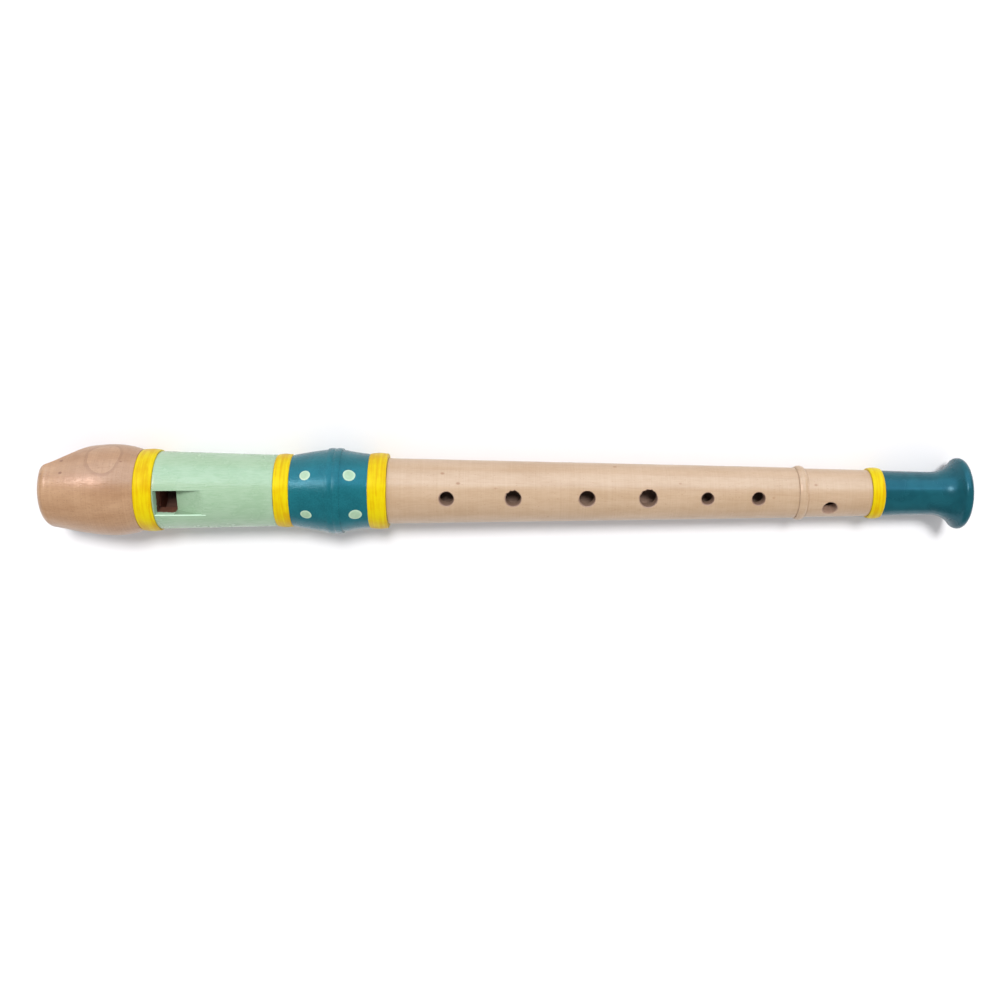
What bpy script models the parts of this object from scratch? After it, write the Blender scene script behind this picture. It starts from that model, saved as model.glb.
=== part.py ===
"""Soprano recorder in three joints: head with mouthpiece and block, middle joint, and foot with bell.

The bore lies along X, with the mouthpiece at -X and the bell at +X, and the finger holes face +Z.
The recorder lies on z = 0, and the origin is under the middle of its length. Lengths are in metres.
Stations are measured along the bore from the mouthpiece's tip.
"""

import math

import bmesh
import bpy
from mathutils import Matrix, Vector

MM = 0.001

# Clearances
GLUE_GAP = 0.20 * MM        # between the shoulders of two glued pieces
GLUE_FIT = 0.10 * MM        # radial, between a spigot and the socket it is glued into
CORK_FIT = 0.10 * MM        # radial, between a cork lapping and its socket, or its groove
TENON_FIT = 0.30 * MM       # radial, between a bare tenon and its socket
BLOCK_FIT = 0.10 * MM       # radial, between the block and the head bore

# Visible length of each piece, from the mouthpiece's tip to the bell's end
MOUTHPIECE_LENGTH = 34.2 * MM
BEAK_RING_WIDTH = 6.4 * MM
HEAD_TUBE_LENGTH = 41.1 * MM
BARREL_RING_WIDTH = 5.5 * MM
BARREL_LENGTH = 27.0 * MM
SOCKET_RING_WIDTH = 6.5 * MM
MIDDLE_LENGTH = 142.9 * MM
FOOT_LENGTH = 25.5 * MM
FOOT_RING_WIDTH = 4.4 * MM
BELL_LENGTH = 29.4 * MM

# Mouthpiece: radii of the turned outside
TIP_FACE_RADIUS = 8.6 * MM
TIP_ROUND_LENGTH = 3.8 * MM
CHEEK_RADIUS = 13.3 * MM    # where the rounded tip ends
BULGE_RADIUS = 16.1 * MM
BULGE_STATION = 23.4 * MM
RISE_GUIDE = (0.6, 0.68)    # share of the way to the bulge, and of the rise reached there
FALL_GUIDE = (0.6, 0.32)    # share of the way from the bulge to the end, and of the fall reached there
MOUTHPIECE_END_RADIUS = 14.3 * MM
BEAK_CUT_RADIUS = 22.0 * MM  # the hollow cut under the beak
BEAK_CUT_HEIGHT = 3.9 * MM   # of the cut above the bore's axis at the tip
BEAK_CUT_LEAD = 2.7 * MM     # from the cut's crest to the tip
BEAK_TURN = math.radians(13)  # of the cut, past the window

# Head bore, windway and window
HEAD_BORE_RADIUS = 6.7 * MM
WINDWAY_WIDTH = 8.4 * MM
WINDWAY_DROP = 1.4 * MM     # of the windway's floor below the top of the head bore
WINDWAY_HEIGHT = 1.6 * MM
BLOCK_CHAMFER = 0.8 * MM
WINDOW_SETBACK = 0.4 * MM   # from the head tube's shoulder to the window
WINDOW_LENGTH = 6.4 * MM
WINDOW_WIDTH = 9.2 * MM
EDGE_THICKNESS = 0.35 * MM  # of the labium's edge above the head bore
RAMP_LENGTH = 11.2 * MM

# Outer radii of the painted and plain sections
RING_CROWN = 0.45 * MM      # how much higher a ring is at its middle than at its edges
BEAK_RING_RADIUS = 14.65 * MM
HEAD_TUBE_RADII = (13.7 * MM, 12.6 * MM)
BARREL_RING_RADIUS = 13.1 * MM
BARREL_END_RADII = (12.6 * MM, 13.0 * MM)
BARREL_WAIST_RADII = (14.6 * MM, 14.5 * MM)  # either side of the double bead
BARREL_BEAD_RADIUS = 15.1 * MM
BARREL_BEAD_CROWN = 0.20 * MM
BARREL_BEAD_WIDTH = 5.0 * MM                 # both beads
BARREL_BEAD_STATION = 15.0 * MM              # from the barrel's left end to the groove between the beads
BARREL_SWELL = 0.12 * MM                     # how far its left side bulges and its right side hollows
SOCKET_RING_RADIUS = 13.55 * MM
MIDDLE_RADII = (11.55 * MM, 8.85 * MM)
FOOT_BEAD_RADIUS = 9.58 * MM
FOOT_BEAD_WIDTH = 2.9 * MM
FOOT_GROOVE_WIDTH = 0.4 * MM
FOOT_GROOVE_DEPTH = 0.15 * MM
FOOT_RADII = (8.55 * MM, 8.12 * MM)
FOOT_RING_RADIUS = 9.15 * MM
BELL_START_RADIUS = 8.0 * MM
BELL_NECK_RADIUS = 7.57 * MM
BELL_RADIUS = 12.48 * MM
BELL_FLARE = 10.0 * MM      # radius of the hollow flare
BELL_RIM = 1.75 * MM        # radius of the rounded rim

# Glued spigots, and the corked tenons that come apart
BEAK_SPIGOT_RADIUS = 10.2 * MM
BEAK_SPIGOT_DEPTH = 11.5 * MM    # into the mouthpiece
BARREL_SPIGOT_RADIUS = 9.8 * MM
BARREL_SPIGOT_DEPTH = 10.0 * MM  # into the barrel
SOCKET_WALL = 1.1 * MM           # of the barrel's lip inside the socket ring
UPPER_TENON_RADIUS = 9.6 * MM
UPPER_TENON_LENGTH = 19.8 * MM
UPPER_CORK_WIDTH = 12.0 * MM
UPPER_CORK_THICKNESS = 1.1 * MM
LOWER_TENON_RADIUS = 6.35 * MM
LOWER_TENON_LENGTH = 7.8 * MM
LOWER_CORK_WIDTH = 4.6 * MM
LOWER_CORK_THICKNESS = 0.8 * MM
CORK_START = 1.6 * MM            # from the tenon's shoulder to its cork
SOCKET_SPARE = 0.3 * MM          # depth of a socket past its tenon's end
BELL_SPIGOT_RADIUS = 6.4 * MM
BELL_SPIGOT_DEPTH = 8.0 * MM     # into the bell

# Bore of the middle joint and the foot
MIDDLE_BORE_RADII = (6.3 * MM, 4.7 * MM)
FOOT_BORE_RADIUS = 4.6 * MM
BELL_MOUTH_RADIUS = 6.2 * MM
BELL_MOUTH_DEPTH = 9.0 * MM

# Finger holes: (station from the middle joint's upper shoulder, diameter), German fingering
FINGER_HOLES = (
    (20.7 * MM, 4.9 * MM),
    (43.7 * MM, 5.3 * MM),
    (69.3 * MM, 5.4 * MM),
    (90.5 * MM, 6.0 * MM),
    (111.0 * MM, 4.2 * MM),
    (128.7 * MM, 4.4 * MM),
)
THUMB_HOLE = (13.2 * MM, 5.0 * MM)
FOOT_HOLE = (11.1 * MM, 4.8 * MM)  # station from the foot's upper end

# How the three joints stand to each other, as they are set for playing
HEAD_TURN = math.radians(6)
FOOT_HOLE_TURN = math.radians(27)

SIDES = 40                 # flats round a turned piece, one of them facing down
HOLE_SIDES = 24
CUT_SIDES = 96             # of the large cutter under the beak
CROWN_STEPS = 4
TOOL_SPARE = 2 * MM        # how far a cutter runs past the face it opens

# Stations
BEAK_RING_AT = MOUTHPIECE_LENGTH
HEAD_TUBE_AT = BEAK_RING_AT + BEAK_RING_WIDTH
BARREL_RING_AT = HEAD_TUBE_AT + HEAD_TUBE_LENGTH
BARREL_AT = BARREL_RING_AT + BARREL_RING_WIDTH
SOCKET_RING_AT = BARREL_AT + BARREL_LENGTH
MIDDLE_AT = SOCKET_RING_AT + SOCKET_RING_WIDTH
FOOT_AT = MIDDLE_AT + MIDDLE_LENGTH
FOOT_RING_AT = FOOT_AT + FOOT_LENGTH
BELL_AT = FOOT_RING_AT + FOOT_RING_WIDTH
TOTAL_LENGTH = BELL_AT + BELL_LENGTH
WINDOW_AT = HEAD_TUBE_AT + WINDOW_SETBACK

# Radii and depths that follow from the fits
UPPER_SOCKET_RADIUS = UPPER_TENON_RADIUS + TENON_FIT
LOWER_SOCKET_RADIUS = LOWER_TENON_RADIUS + TENON_FIT
LIP_RADIUS = UPPER_SOCKET_RADIUS + SOCKET_WALL
WINDWAY_FLOOR = HEAD_BORE_RADIUS - WINDWAY_DROP
WINDWAY_ROOF = WINDWAY_FLOOR + WINDWAY_HEIGHT


# ---------------------------------------------------------------- outlines

def arc(centre, radius, start, end, steps):
    """Points (station, radius) on an arc, with angles in degrees from +X towards the outside."""
    points = []
    for step in range(steps + 1):
        angle = math.radians(start + (end - start) * step / steps)
        points.append((centre[0] + radius * math.cos(angle), centre[1] + radius * math.sin(angle)))
    return points


def crown(start, width, top, rise=RING_CROWN):
    """A low arch across a ring or a bead, from its left edge to its right edge."""
    points = []
    for step in range(CROWN_STEPS + 1):
        share = step / CROWN_STEPS
        points.append((start + width * share, top - rise * (1 - 2 * share) ** 2))
    return points


def smooth(points, steps):
    """A Catmull-Rom curve through hand-set points."""
    guides = [points[0]] + list(points) + [points[-1]]
    curve = []
    for before, start, end, after in zip(guides, guides[1:], guides[2:], guides[3:]):
        for step in range(steps):
            t = step / steps
            curve.append(tuple(
                0.5 * (2 * b + (c - a) * t + (2 * a - 5 * b + 4 * c - d) * t * t
                       + (3 * b - a - 3 * c + d) * t ** 3)
                for a, b, c, d in zip(before, start, end, after)))
    return curve + [points[-1]]


# ---------------------------------------------------------------- mesh tools

def turned_mesh(name, outline, sides=SIDES):
    """A closed (station, radius) outline turned round X, with its flats at the outline's radii."""
    mesh = bpy.data.meshes.new(name)
    work = bmesh.new()
    flat = math.pi / sides
    verts = []
    for station, radius in outline:
        reach = radius / math.cos(flat)
        verts.append(work.verts.new((station, reach * math.sin(flat), reach * math.cos(flat))))
    edges = [work.edges.new(pair) for pair in zip(verts, verts[1:] + verts[:1])]
    bmesh.ops.spin(work, geom=verts + edges, cent=(0, 0, 0), axis=(1, 0, 0),
                   angle=2 * math.pi, steps=sides, use_merge=True)
    bmesh.ops.remove_doubles(work, verts=work.verts, dist=0.001 * MM)
    bmesh.ops.recalc_face_normals(work, faces=work.faces)
    work.to_mesh(mesh)
    work.free()
    mesh.shade_smooth()
    mesh.set_sharp_from_angle(angle=math.radians(28))
    return mesh


def prism_mesh(name, outline, width):
    """A closed (x, z) outline made into a bar across Y, centred on the axis."""
    mesh = bpy.data.meshes.new(name)
    work = bmesh.new()
    face = work.faces.new([work.verts.new((x, -width / 2, z)) for x, z in outline])
    grown = bmesh.ops.extrude_face_region(work, geom=[face])
    moved = [item for item in grown["geom"] if isinstance(item, bmesh.types.BMVert)]
    bmesh.ops.translate(work, verts=moved, vec=(0, width, 0))
    bmesh.ops.recalc_face_normals(work, faces=work.faces)
    work.to_mesh(mesh)
    work.free()
    return mesh


def drill_mesh(name, radius, length):
    """A drill for a finger hole, pointing up from the bore's axis."""
    mesh = bpy.data.meshes.new(name)
    work = bmesh.new()
    lift = Matrix.Translation((0, 0, length / 2))
    bmesh.ops.create_cone(work, cap_ends=True, segments=HOLE_SIDES, radius1=radius, radius2=radius,
                          depth=length, matrix=lift)
    work.to_mesh(mesh)
    work.free()
    return mesh


def material(name, colour, roughness):
    made = bpy.data.materials.new(name)
    made.use_nodes = True
    shader = made.node_tree.nodes["Principled BSDF"]
    shader.inputs["Base Color"].default_value = (*colour, 1)
    shader.inputs["Roughness"].default_value = roughness
    made.diffuse_color = (*colour, 1)
    return made


def place(name, mesh, parent, station, finish=None, turn=0.0):
    """Puts a mesh on the bore's axis at a station, riding on one of the three joints."""
    made = bpy.data.objects.new(name, mesh)
    bpy.context.scene.collection.objects.link(made)
    made.parent = parent
    made.location.x = station
    made.rotation_euler.x = turn
    if finish:
        mesh.materials.append(finish)
    return made


def turned_piece(name, outline, parent, station, finish):
    """A turned piece on one of the three joints, rolled back so that one of its flats faces down."""
    mesh = turned_mesh(name, outline)
    mesh.transform(Matrix.Rotation(-parent.rotation_euler.x, 4, "X"))
    return place(name, mesh, parent, station, finish)


def cut(target, tool):
    """Cuts a tool out of a piece, and hides the tool."""
    tool.hide_render = True
    tool.display_type = "WIRE"
    boolean = target.modifiers.new(tool.name, "BOOLEAN")
    boolean.operation = "DIFFERENCE"
    boolean.solver = "EXACT"
    boolean.object = tool


def empty(name, parent=None):
    made = bpy.data.objects.new(name, None)
    bpy.context.scene.collection.objects.link(made)
    made.parent = parent
    return made


# ---------------------------------------------------------------- finishes

def finishes():
    return {
        "beech": material("oiled_beech", (0.58, 0.38, 0.23), 0.45),
        "maple": material("plain_maple", (0.69, 0.50, 0.33), 0.45),
        "cedar": material("cedar", (0.30, 0.12, 0.07), 0.75),
        "mint": material("mint_enamel", (0.55, 0.74, 0.56), 0.35),
        "yellow": material("yellow_enamel", (0.91, 0.67, 0.03), 0.40),
        "teal": material("teal_enamel", (0.03, 0.19, 0.24), 0.30),
        "cork": material("cork", (0.50, 0.33, 0.19), 0.85),
    }


# ---------------------------------------------------------------- head joint

def beak_tool(name, parent):
    """The round cutter that hollows the underside of the beak."""
    crest = BEAK_CUT_HEIGHT + BEAK_CUT_RADIUS - math.sqrt(BEAK_CUT_RADIUS ** 2 - BEAK_CUT_LEAD ** 2)
    centre = Vector((-BEAK_CUT_LEAD, 0, crest - BEAK_CUT_RADIUS))
    mesh = bpy.data.meshes.new(name)
    work = bmesh.new()
    across = Matrix.Translation(centre) @ Matrix.Rotation(math.pi / 2, 4, "X")
    bmesh.ops.create_cone(work, cap_ends=True, segments=CUT_SIDES, radius1=BEAK_CUT_RADIUS,
                          radius2=BEAK_CUT_RADIUS, depth=3 * BULGE_RADIUS, matrix=across)
    work.to_mesh(mesh)
    work.free()
    return place(name, mesh, parent, 0, turn=BEAK_TURN)


def windway_tool(name, parent):
    """The flat channel above the block, from outside the tip to the window."""
    start, end = -TOOL_SPARE, WINDOW_AT + TOOL_SPARE
    outline = [(start, WINDWAY_FLOOR), (end, WINDWAY_FLOOR), (end, WINDWAY_ROOF), (start, WINDWAY_ROOF)]
    return place(name, prism_mesh(name, outline, WINDWAY_WIDTH), parent, 0)


def mouthpiece(parent, finish):
    length = MOUTHPIECE_LENGTH - GLUE_GAP
    socket = BEAK_SPIGOT_RADIUS + GLUE_FIT
    step = MOUTHPIECE_LENGTH - BEAK_SPIGOT_DEPTH
    tip = []
    for angle in range(0, 91, 18):
        along = TIP_ROUND_LENGTH * (1 - math.cos(math.radians(angle)))
        out = (CHEEK_RADIUS - TIP_FACE_RADIUS) * math.sin(math.radians(angle))
        tip.append((along, TIP_FACE_RADIUS + out))
    side = smooth([
        tip[-1],
        (BULGE_STATION * RISE_GUIDE[0], CHEEK_RADIUS + RISE_GUIDE[1] * (BULGE_RADIUS - CHEEK_RADIUS)),
        (BULGE_STATION, BULGE_RADIUS),
        (BULGE_STATION + FALL_GUIDE[0] * (length - BULGE_STATION),
         BULGE_RADIUS - FALL_GUIDE[1] * (BULGE_RADIUS - MOUTHPIECE_END_RADIUS)),
        (length, MOUTHPIECE_END_RADIUS),
    ], 3)
    inside = [(length, socket), (step, socket), (step, HEAD_BORE_RADIUS), (0, HEAD_BORE_RADIUS)]
    piece = turned_piece("mouthpiece", tip + side[1:] + inside, parent, 0, finish)
    cut(piece, windway_tool("windway_roof_tool", parent))
    cut(piece, beak_tool("beak_tool", parent))


def fipple_block(parent, finish):
    radius = HEAD_BORE_RADIUS - BLOCK_FIT
    end = WINDOW_AT - GLUE_GAP
    outline = [(0, 0), (0, radius), (end, radius), (end, 0)]
    piece = turned_piece("fipple_block", outline, parent, 0, finish)
    top = WINDWAY_FLOOR
    above = 2 * HEAD_BORE_RADIUS
    flat = [(-BLOCK_CHAMFER, top), (end - BLOCK_CHAMFER, top), (end + BLOCK_CHAMFER, top - 2 * BLOCK_CHAMFER),
            (end + BLOCK_CHAMFER, above), (-BLOCK_CHAMFER, above)]
    cut(piece, place("block_flat_tool", prism_mesh("block_flat_tool", flat, 4 * HEAD_BORE_RADIUS), parent, 0))
    cut(piece, beak_tool("block_beak_tool", parent))


def ring(name, parent, station, width, radius, inner, finish):
    """A turned ring with a low crown and softened edges, glued over a spigot."""
    start = GLUE_GAP / 2
    outline = crown(start, width - GLUE_GAP, radius)
    outline += [(width - start, inner), (start, inner)]
    turned_piece(name, outline, parent, station, finish)


def head_tube(parent, finish):
    spigot_start = -(BEAK_RING_WIDTH + BEAK_SPIGOT_DEPTH - GLUE_GAP)
    spigot_end = HEAD_TUBE_LENGTH + BARREL_RING_WIDTH + BARREL_SPIGOT_DEPTH - GLUE_GAP
    outline = [
        (spigot_start, HEAD_BORE_RADIUS), (spigot_start, BEAK_SPIGOT_RADIUS), (0, BEAK_SPIGOT_RADIUS),
        (0, HEAD_TUBE_RADII[0]), (HEAD_TUBE_LENGTH, HEAD_TUBE_RADII[1]),
        (HEAD_TUBE_LENGTH, BARREL_SPIGOT_RADIUS), (spigot_end, BARREL_SPIGOT_RADIUS),
        (spigot_end, HEAD_BORE_RADIUS),
    ]
    piece = turned_piece("head_tube", outline, parent, HEAD_TUBE_AT, finish)
    cut(piece, windway_tool("windway_exit_tool", parent))
    edge = WINDOW_AT + WINDOW_LENGTH
    top = 2 * HEAD_TUBE_RADII[0]
    rise = HEAD_TUBE_RADII[0] - HEAD_BORE_RADIUS - EDGE_THICKNESS
    past = top - HEAD_BORE_RADIUS - EDGE_THICKNESS
    window = [
        (WINDOW_AT, 0), (edge, 0), (edge, HEAD_BORE_RADIUS + EDGE_THICKNESS),
        (edge + RAMP_LENGTH * past / rise, top), (WINDOW_AT, top),
    ]
    cut(piece, place("window_tool", prism_mesh("window_tool", window, WINDOW_WIDTH), parent, 0))


def socket_barrel(parent, finish):
    """The thick barrel with the double bead; its right half holds the upper tenon's socket."""
    end = BARREL_LENGTH + SOCKET_RING_WIDTH - GLUE_GAP
    socket_start = BARREL_LENGTH + SOCKET_RING_WIDTH - UPPER_TENON_LENGTH - SOCKET_SPARE
    bead = BARREL_BEAD_WIDTH / 2
    left = BARREL_BEAD_STATION - bead
    right = BARREL_BEAD_STATION + bead
    inner = BARREL_SPIGOT_RADIUS + GLUE_FIT
    start = GLUE_GAP / 2
    outline = [
        (start, inner),
        (start, BARREL_END_RADII[0]),
        (left / 2, (BARREL_END_RADII[0] + BARREL_WAIST_RADII[0]) / 2 + BARREL_SWELL),
        (left, BARREL_WAIST_RADII[0]),
    ]
    outline += crown(left, bead, BARREL_BEAD_RADIUS, BARREL_BEAD_CROWN)
    outline += crown(BARREL_BEAD_STATION, bead, BARREL_BEAD_RADIUS, BARREL_BEAD_CROWN)[1:]
    outline += [
        (right, BARREL_WAIST_RADII[1]),
        ((right + BARREL_LENGTH) / 2, (BARREL_END_RADII[1] + BARREL_WAIST_RADII[1]) / 2 - BARREL_SWELL),
        (BARREL_LENGTH, BARREL_END_RADII[1]),
        (BARREL_LENGTH, LIP_RADIUS),
        (end, LIP_RADIUS),
        (end, UPPER_SOCKET_RADIUS),
        (socket_start, UPPER_SOCKET_RADIUS),
        (socket_start, HEAD_BORE_RADIUS),
        (BARREL_SPIGOT_DEPTH, HEAD_BORE_RADIUS),
        (BARREL_SPIGOT_DEPTH, inner),
    ]
    turned_piece("socket_barrel", outline, parent, BARREL_AT, finish)


# ---------------------------------------------------------------- middle joint

def middle_joint(parent, finish):
    start = GLUE_GAP
    end = MIDDLE_LENGTH - GLUE_GAP
    upper, lower = UPPER_TENON_RADIUS, LOWER_TENON_RADIUS
    upper_end = -UPPER_TENON_LENGTH
    lower_end = MIDDLE_LENGTH + LOWER_TENON_LENGTH
    upper_groove = (-CORK_START, -CORK_START - UPPER_CORK_WIDTH)
    lower_groove = (MIDDLE_LENGTH + CORK_START, MIDDLE_LENGTH + CORK_START + LOWER_CORK_WIDTH)
    upper_floor = UPPER_SOCKET_RADIUS - UPPER_CORK_THICKNESS - CORK_FIT
    lower_floor = LOWER_SOCKET_RADIUS - LOWER_CORK_THICKNESS - CORK_FIT
    outline = [
        (upper_end, MIDDLE_BORE_RADII[0]), (upper_end, upper), (upper_groove[1], upper),
        (upper_groove[1], upper_floor), (upper_groove[0], upper_floor), (upper_groove[0], upper),
        (start, upper), (start, MIDDLE_RADII[0]), (end, MIDDLE_RADII[1]), (end, lower),
        (lower_groove[0], lower), (lower_groove[0], lower_floor), (lower_groove[1], lower_floor),
        (lower_groove[1], lower), (lower_end, lower), (lower_end, MIDDLE_BORE_RADII[1]),
    ]
    piece = turned_piece("middle_joint", outline, parent, MIDDLE_AT, finish)
    depth = 1.5 * MIDDLE_RADII[0]
    for number, (station, diameter) in enumerate(FINGER_HOLES, 1):
        name = f"hole_{number}_tool"
        cut(piece, place(name, drill_mesh(name, diameter / 2, depth), parent, MIDDLE_AT + station))
    station, diameter = THUMB_HOLE
    mesh = drill_mesh("thumb_hole_tool", diameter / 2, depth)
    cut(piece, place("thumb_hole_tool", mesh, parent, MIDDLE_AT + station, turn=math.pi))


def cork(name, parent, station, width, socket, thickness, finish):
    """A strip of cork glued round a tenon's groove: a little narrower than the groove at each end."""
    outer = socket - CORK_FIT
    inner = outer - thickness + CORK_FIT
    outline = [(GLUE_FIT, inner), (GLUE_FIT, outer), (width - GLUE_FIT, outer), (width - GLUE_FIT, inner)]
    turned_piece(name, outline, parent, station, finish)


# ---------------------------------------------------------------- foot joint

def foot_joint(parent, finish):
    start = GLUE_GAP / 2
    socket_end = LOWER_TENON_LENGTH + SOCKET_SPARE
    spigot_end = FOOT_LENGTH + FOOT_RING_WIDTH + BELL_SPIGOT_DEPTH - GLUE_GAP
    groove_end = FOOT_BEAD_WIDTH + FOOT_GROOVE_WIDTH
    outline = [(start, LOWER_SOCKET_RADIUS)]
    outline += crown(start, FOOT_BEAD_WIDTH - start, FOOT_BEAD_RADIUS)
    outline += [
        (FOOT_BEAD_WIDTH, FOOT_RADII[0] - FOOT_GROOVE_DEPTH), (groove_end, FOOT_RADII[0] - FOOT_GROOVE_DEPTH),
        (groove_end, FOOT_RADII[0]), (FOOT_LENGTH, FOOT_RADII[1]), (FOOT_LENGTH, BELL_SPIGOT_RADIUS),
        (spigot_end, BELL_SPIGOT_RADIUS), (spigot_end, FOOT_BORE_RADIUS), (socket_end, FOOT_BORE_RADIUS),
        (socket_end, LOWER_SOCKET_RADIUS),
    ]
    piece = turned_piece("foot_joint", outline, parent, FOOT_AT, finish)
    station, diameter = FOOT_HOLE
    mesh = drill_mesh("hole_7_tool", diameter / 2, 1.5 * FOOT_BEAD_RADIUS)
    cut(piece, place("hole_7_tool", mesh, parent, FOOT_AT + station, turn=FOOT_HOLE_TURN))


def foot_bell(parent, finish):
    """Waisted neck, hollow flare and rounded rim; the flare runs into the rim without a corner."""
    socket = BELL_SPIGOT_RADIUS + GLUE_FIT
    reach = BELL_FLARE + BELL_RIM
    meet = math.acos((BELL_NECK_RADIUS + reach - BELL_RADIUS) / reach)
    rim = (BELL_LENGTH - BELL_RIM, BELL_RADIUS - BELL_RIM)
    neck = rim[0] - reach * math.sin(meet)
    turn = math.degrees(meet)
    start = GLUE_GAP / 2
    outline = [(start, socket), (start, BELL_START_RADIUS),
               (neck / 2, (BELL_START_RADIUS + 2 * BELL_NECK_RADIUS) / 3)]
    outline += arc((neck, BELL_NECK_RADIUS + BELL_FLARE), BELL_FLARE, -90, turn - 90, 7)
    outline += arc(rim, BELL_RIM, 90 + turn, 0, 8)[1:]
    outline += [
        (BELL_LENGTH, BELL_MOUTH_RADIUS),
        (BELL_LENGTH - BELL_MOUTH_DEPTH / 3, FOOT_BORE_RADIUS + (BELL_MOUTH_RADIUS - FOOT_BORE_RADIUS) / 3),
        (BELL_LENGTH - BELL_MOUTH_DEPTH, FOOT_BORE_RADIUS),
        (BELL_SPIGOT_DEPTH, FOOT_BORE_RADIUS),
        (BELL_SPIGOT_DEPTH, socket),
    ]
    turned_piece("foot_bell", outline, parent, BELL_AT, finish)


# ---------------------------------------------------------------- assembly

def build():
    for old in list(bpy.data.objects):
        bpy.data.objects.remove(old, do_unlink=True)
    finish = finishes()
    axis = empty("bore_axis")
    axis.location = (-TOTAL_LENGTH / 2, 0, BULGE_RADIUS)
    head = empty("head_turn", axis)
    head.rotation_euler.x = HEAD_TURN
    foot = empty("foot_turn", axis)

    mouthpiece(head, finish["beech"])
    fipple_block(head, finish["cedar"])
    spigot = BEAK_SPIGOT_RADIUS + GLUE_FIT
    ring("beak_ring", head, BEAK_RING_AT, BEAK_RING_WIDTH, BEAK_RING_RADIUS, spigot, finish["yellow"])
    head_tube(head, finish["mint"])
    spigot = BARREL_SPIGOT_RADIUS + GLUE_FIT
    ring("barrel_ring", head, BARREL_RING_AT, BARREL_RING_WIDTH, BARREL_RING_RADIUS, spigot, finish["yellow"])
    socket_barrel(head, finish["teal"])
    spigot = LIP_RADIUS + GLUE_FIT
    ring("socket_ring", head, SOCKET_RING_AT, SOCKET_RING_WIDTH, SOCKET_RING_RADIUS, spigot, finish["yellow"])

    middle_joint(axis, finish["maple"])
    cork("upper_tenon_cork", axis, MIDDLE_AT - CORK_START - UPPER_CORK_WIDTH, UPPER_CORK_WIDTH,
         UPPER_SOCKET_RADIUS, UPPER_CORK_THICKNESS, finish["cork"])
    cork("lower_tenon_cork", axis, FOOT_AT + CORK_START, LOWER_CORK_WIDTH,
         LOWER_SOCKET_RADIUS, LOWER_CORK_THICKNESS, finish["cork"])

    foot_joint(foot, finish["maple"])
    spigot = BELL_SPIGOT_RADIUS + GLUE_FIT
    ring("foot_ring", foot, FOOT_RING_AT, FOOT_RING_WIDTH, FOOT_RING_RADIUS, spigot, finish["yellow"])
    foot_bell(foot, finish["teal"])


build()
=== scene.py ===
"""Looks of a wooden soprano recorder in three joints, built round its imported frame.

The bore lies along X, with the mouthpiece at -X, and the finger holes face +Z. Lengths are in metres,
written as millimetres times MM. A turn is an angle round the bore, from +Z towards -Y.
"""

import math

import bmesh
import bpy
from mathutils import Matrix, Vector, noise


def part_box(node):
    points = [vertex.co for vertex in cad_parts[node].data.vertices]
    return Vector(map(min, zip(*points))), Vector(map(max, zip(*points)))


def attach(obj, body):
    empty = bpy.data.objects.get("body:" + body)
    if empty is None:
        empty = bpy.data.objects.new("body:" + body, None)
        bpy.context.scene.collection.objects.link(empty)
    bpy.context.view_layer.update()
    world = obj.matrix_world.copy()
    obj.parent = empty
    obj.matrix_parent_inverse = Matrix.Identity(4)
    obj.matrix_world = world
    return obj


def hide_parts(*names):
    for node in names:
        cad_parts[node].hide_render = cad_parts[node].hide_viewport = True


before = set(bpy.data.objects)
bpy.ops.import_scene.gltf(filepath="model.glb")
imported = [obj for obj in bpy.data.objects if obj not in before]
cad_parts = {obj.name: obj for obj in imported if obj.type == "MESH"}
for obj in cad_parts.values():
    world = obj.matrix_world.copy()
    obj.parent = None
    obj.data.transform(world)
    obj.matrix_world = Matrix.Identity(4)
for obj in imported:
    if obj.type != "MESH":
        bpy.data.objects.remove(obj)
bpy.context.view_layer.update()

# ---------------------------------------------------------------- head tube
# The head's main tube: beech turned to a slow taper and bored, with a glued spigot at each end.
# The window and its ramp are cut by hand, and the outside is brushed with mint enamel.

MM = 0.001
SIDES = 192
LATHE_STEP = 1.4 * MM         # longest stretch of a turned surface without a row of points
EASED = 0.22 * MM             # radius that sanding leaves on a turned edge
GLUE_GAP = 0.2 * MM
SHARP = math.radians(32)      # edges that bend more than this are shaded sharp
OVERCUT = 2 * MM              # a cutter runs this far past what it cuts

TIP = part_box("mouthpiece")[0].x
AXIS = (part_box("middle_joint")[0].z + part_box("middle_joint")[1].z) / 2
HEAD_TURN = math.radians(6)

HEAD_BORE = 6.7 * MM
BEAK_SPIGOT = 10.2 * MM
BARREL_SPIGOT = 9.8 * MM
TUBE_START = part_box("beak_ring")[1].x + GLUE_GAP / 2
TUBE_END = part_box("barrel_ring")[0].x - GLUE_GAP / 2
TUBE_RADII = (13.7 * MM, 12.6 * MM)

WINDOW_AT = TUBE_START + 0.4 * MM
WINDOW_LENGTH = 6.4 * MM
WINDOW_WIDTH = 9.2 * MM
EDGE_HEIGHT = HEAD_BORE + 0.35 * MM   # of the labium's edge above the bore's axis
RAMP_LENGTH = 12.2 * MM       # it curves out to the surface
RAMP_CURVE = 0.16
RAMP_STEPS = 24
RAMP_OVERLAP = 0.1 * MM       # of the ramp's cutter and the opening's
WINDWAY_WIDTH = 8.4 * MM
WINDWAY_FLOOR = 5.3 * MM
WINDWAY_ROOF = 6.9 * MM
WALL_SHOWN = 0.5 * MM         # bare wood left round the bore's mouth


def add(tree, kind, inputs=None, **settings):
    """Adds a node with its settings; each input is given a value or another node's output."""
    node = tree.nodes.new(kind)
    for setting, value in settings.items():
        setattr(node, setting, value)
    for socket, value in (inputs or {}).items():
        if isinstance(value, bpy.types.NodeSocket):
            tree.links.new(value, node.inputs[socket])
        else:
            node.inputs[socket].default_value = value
    return node


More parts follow.
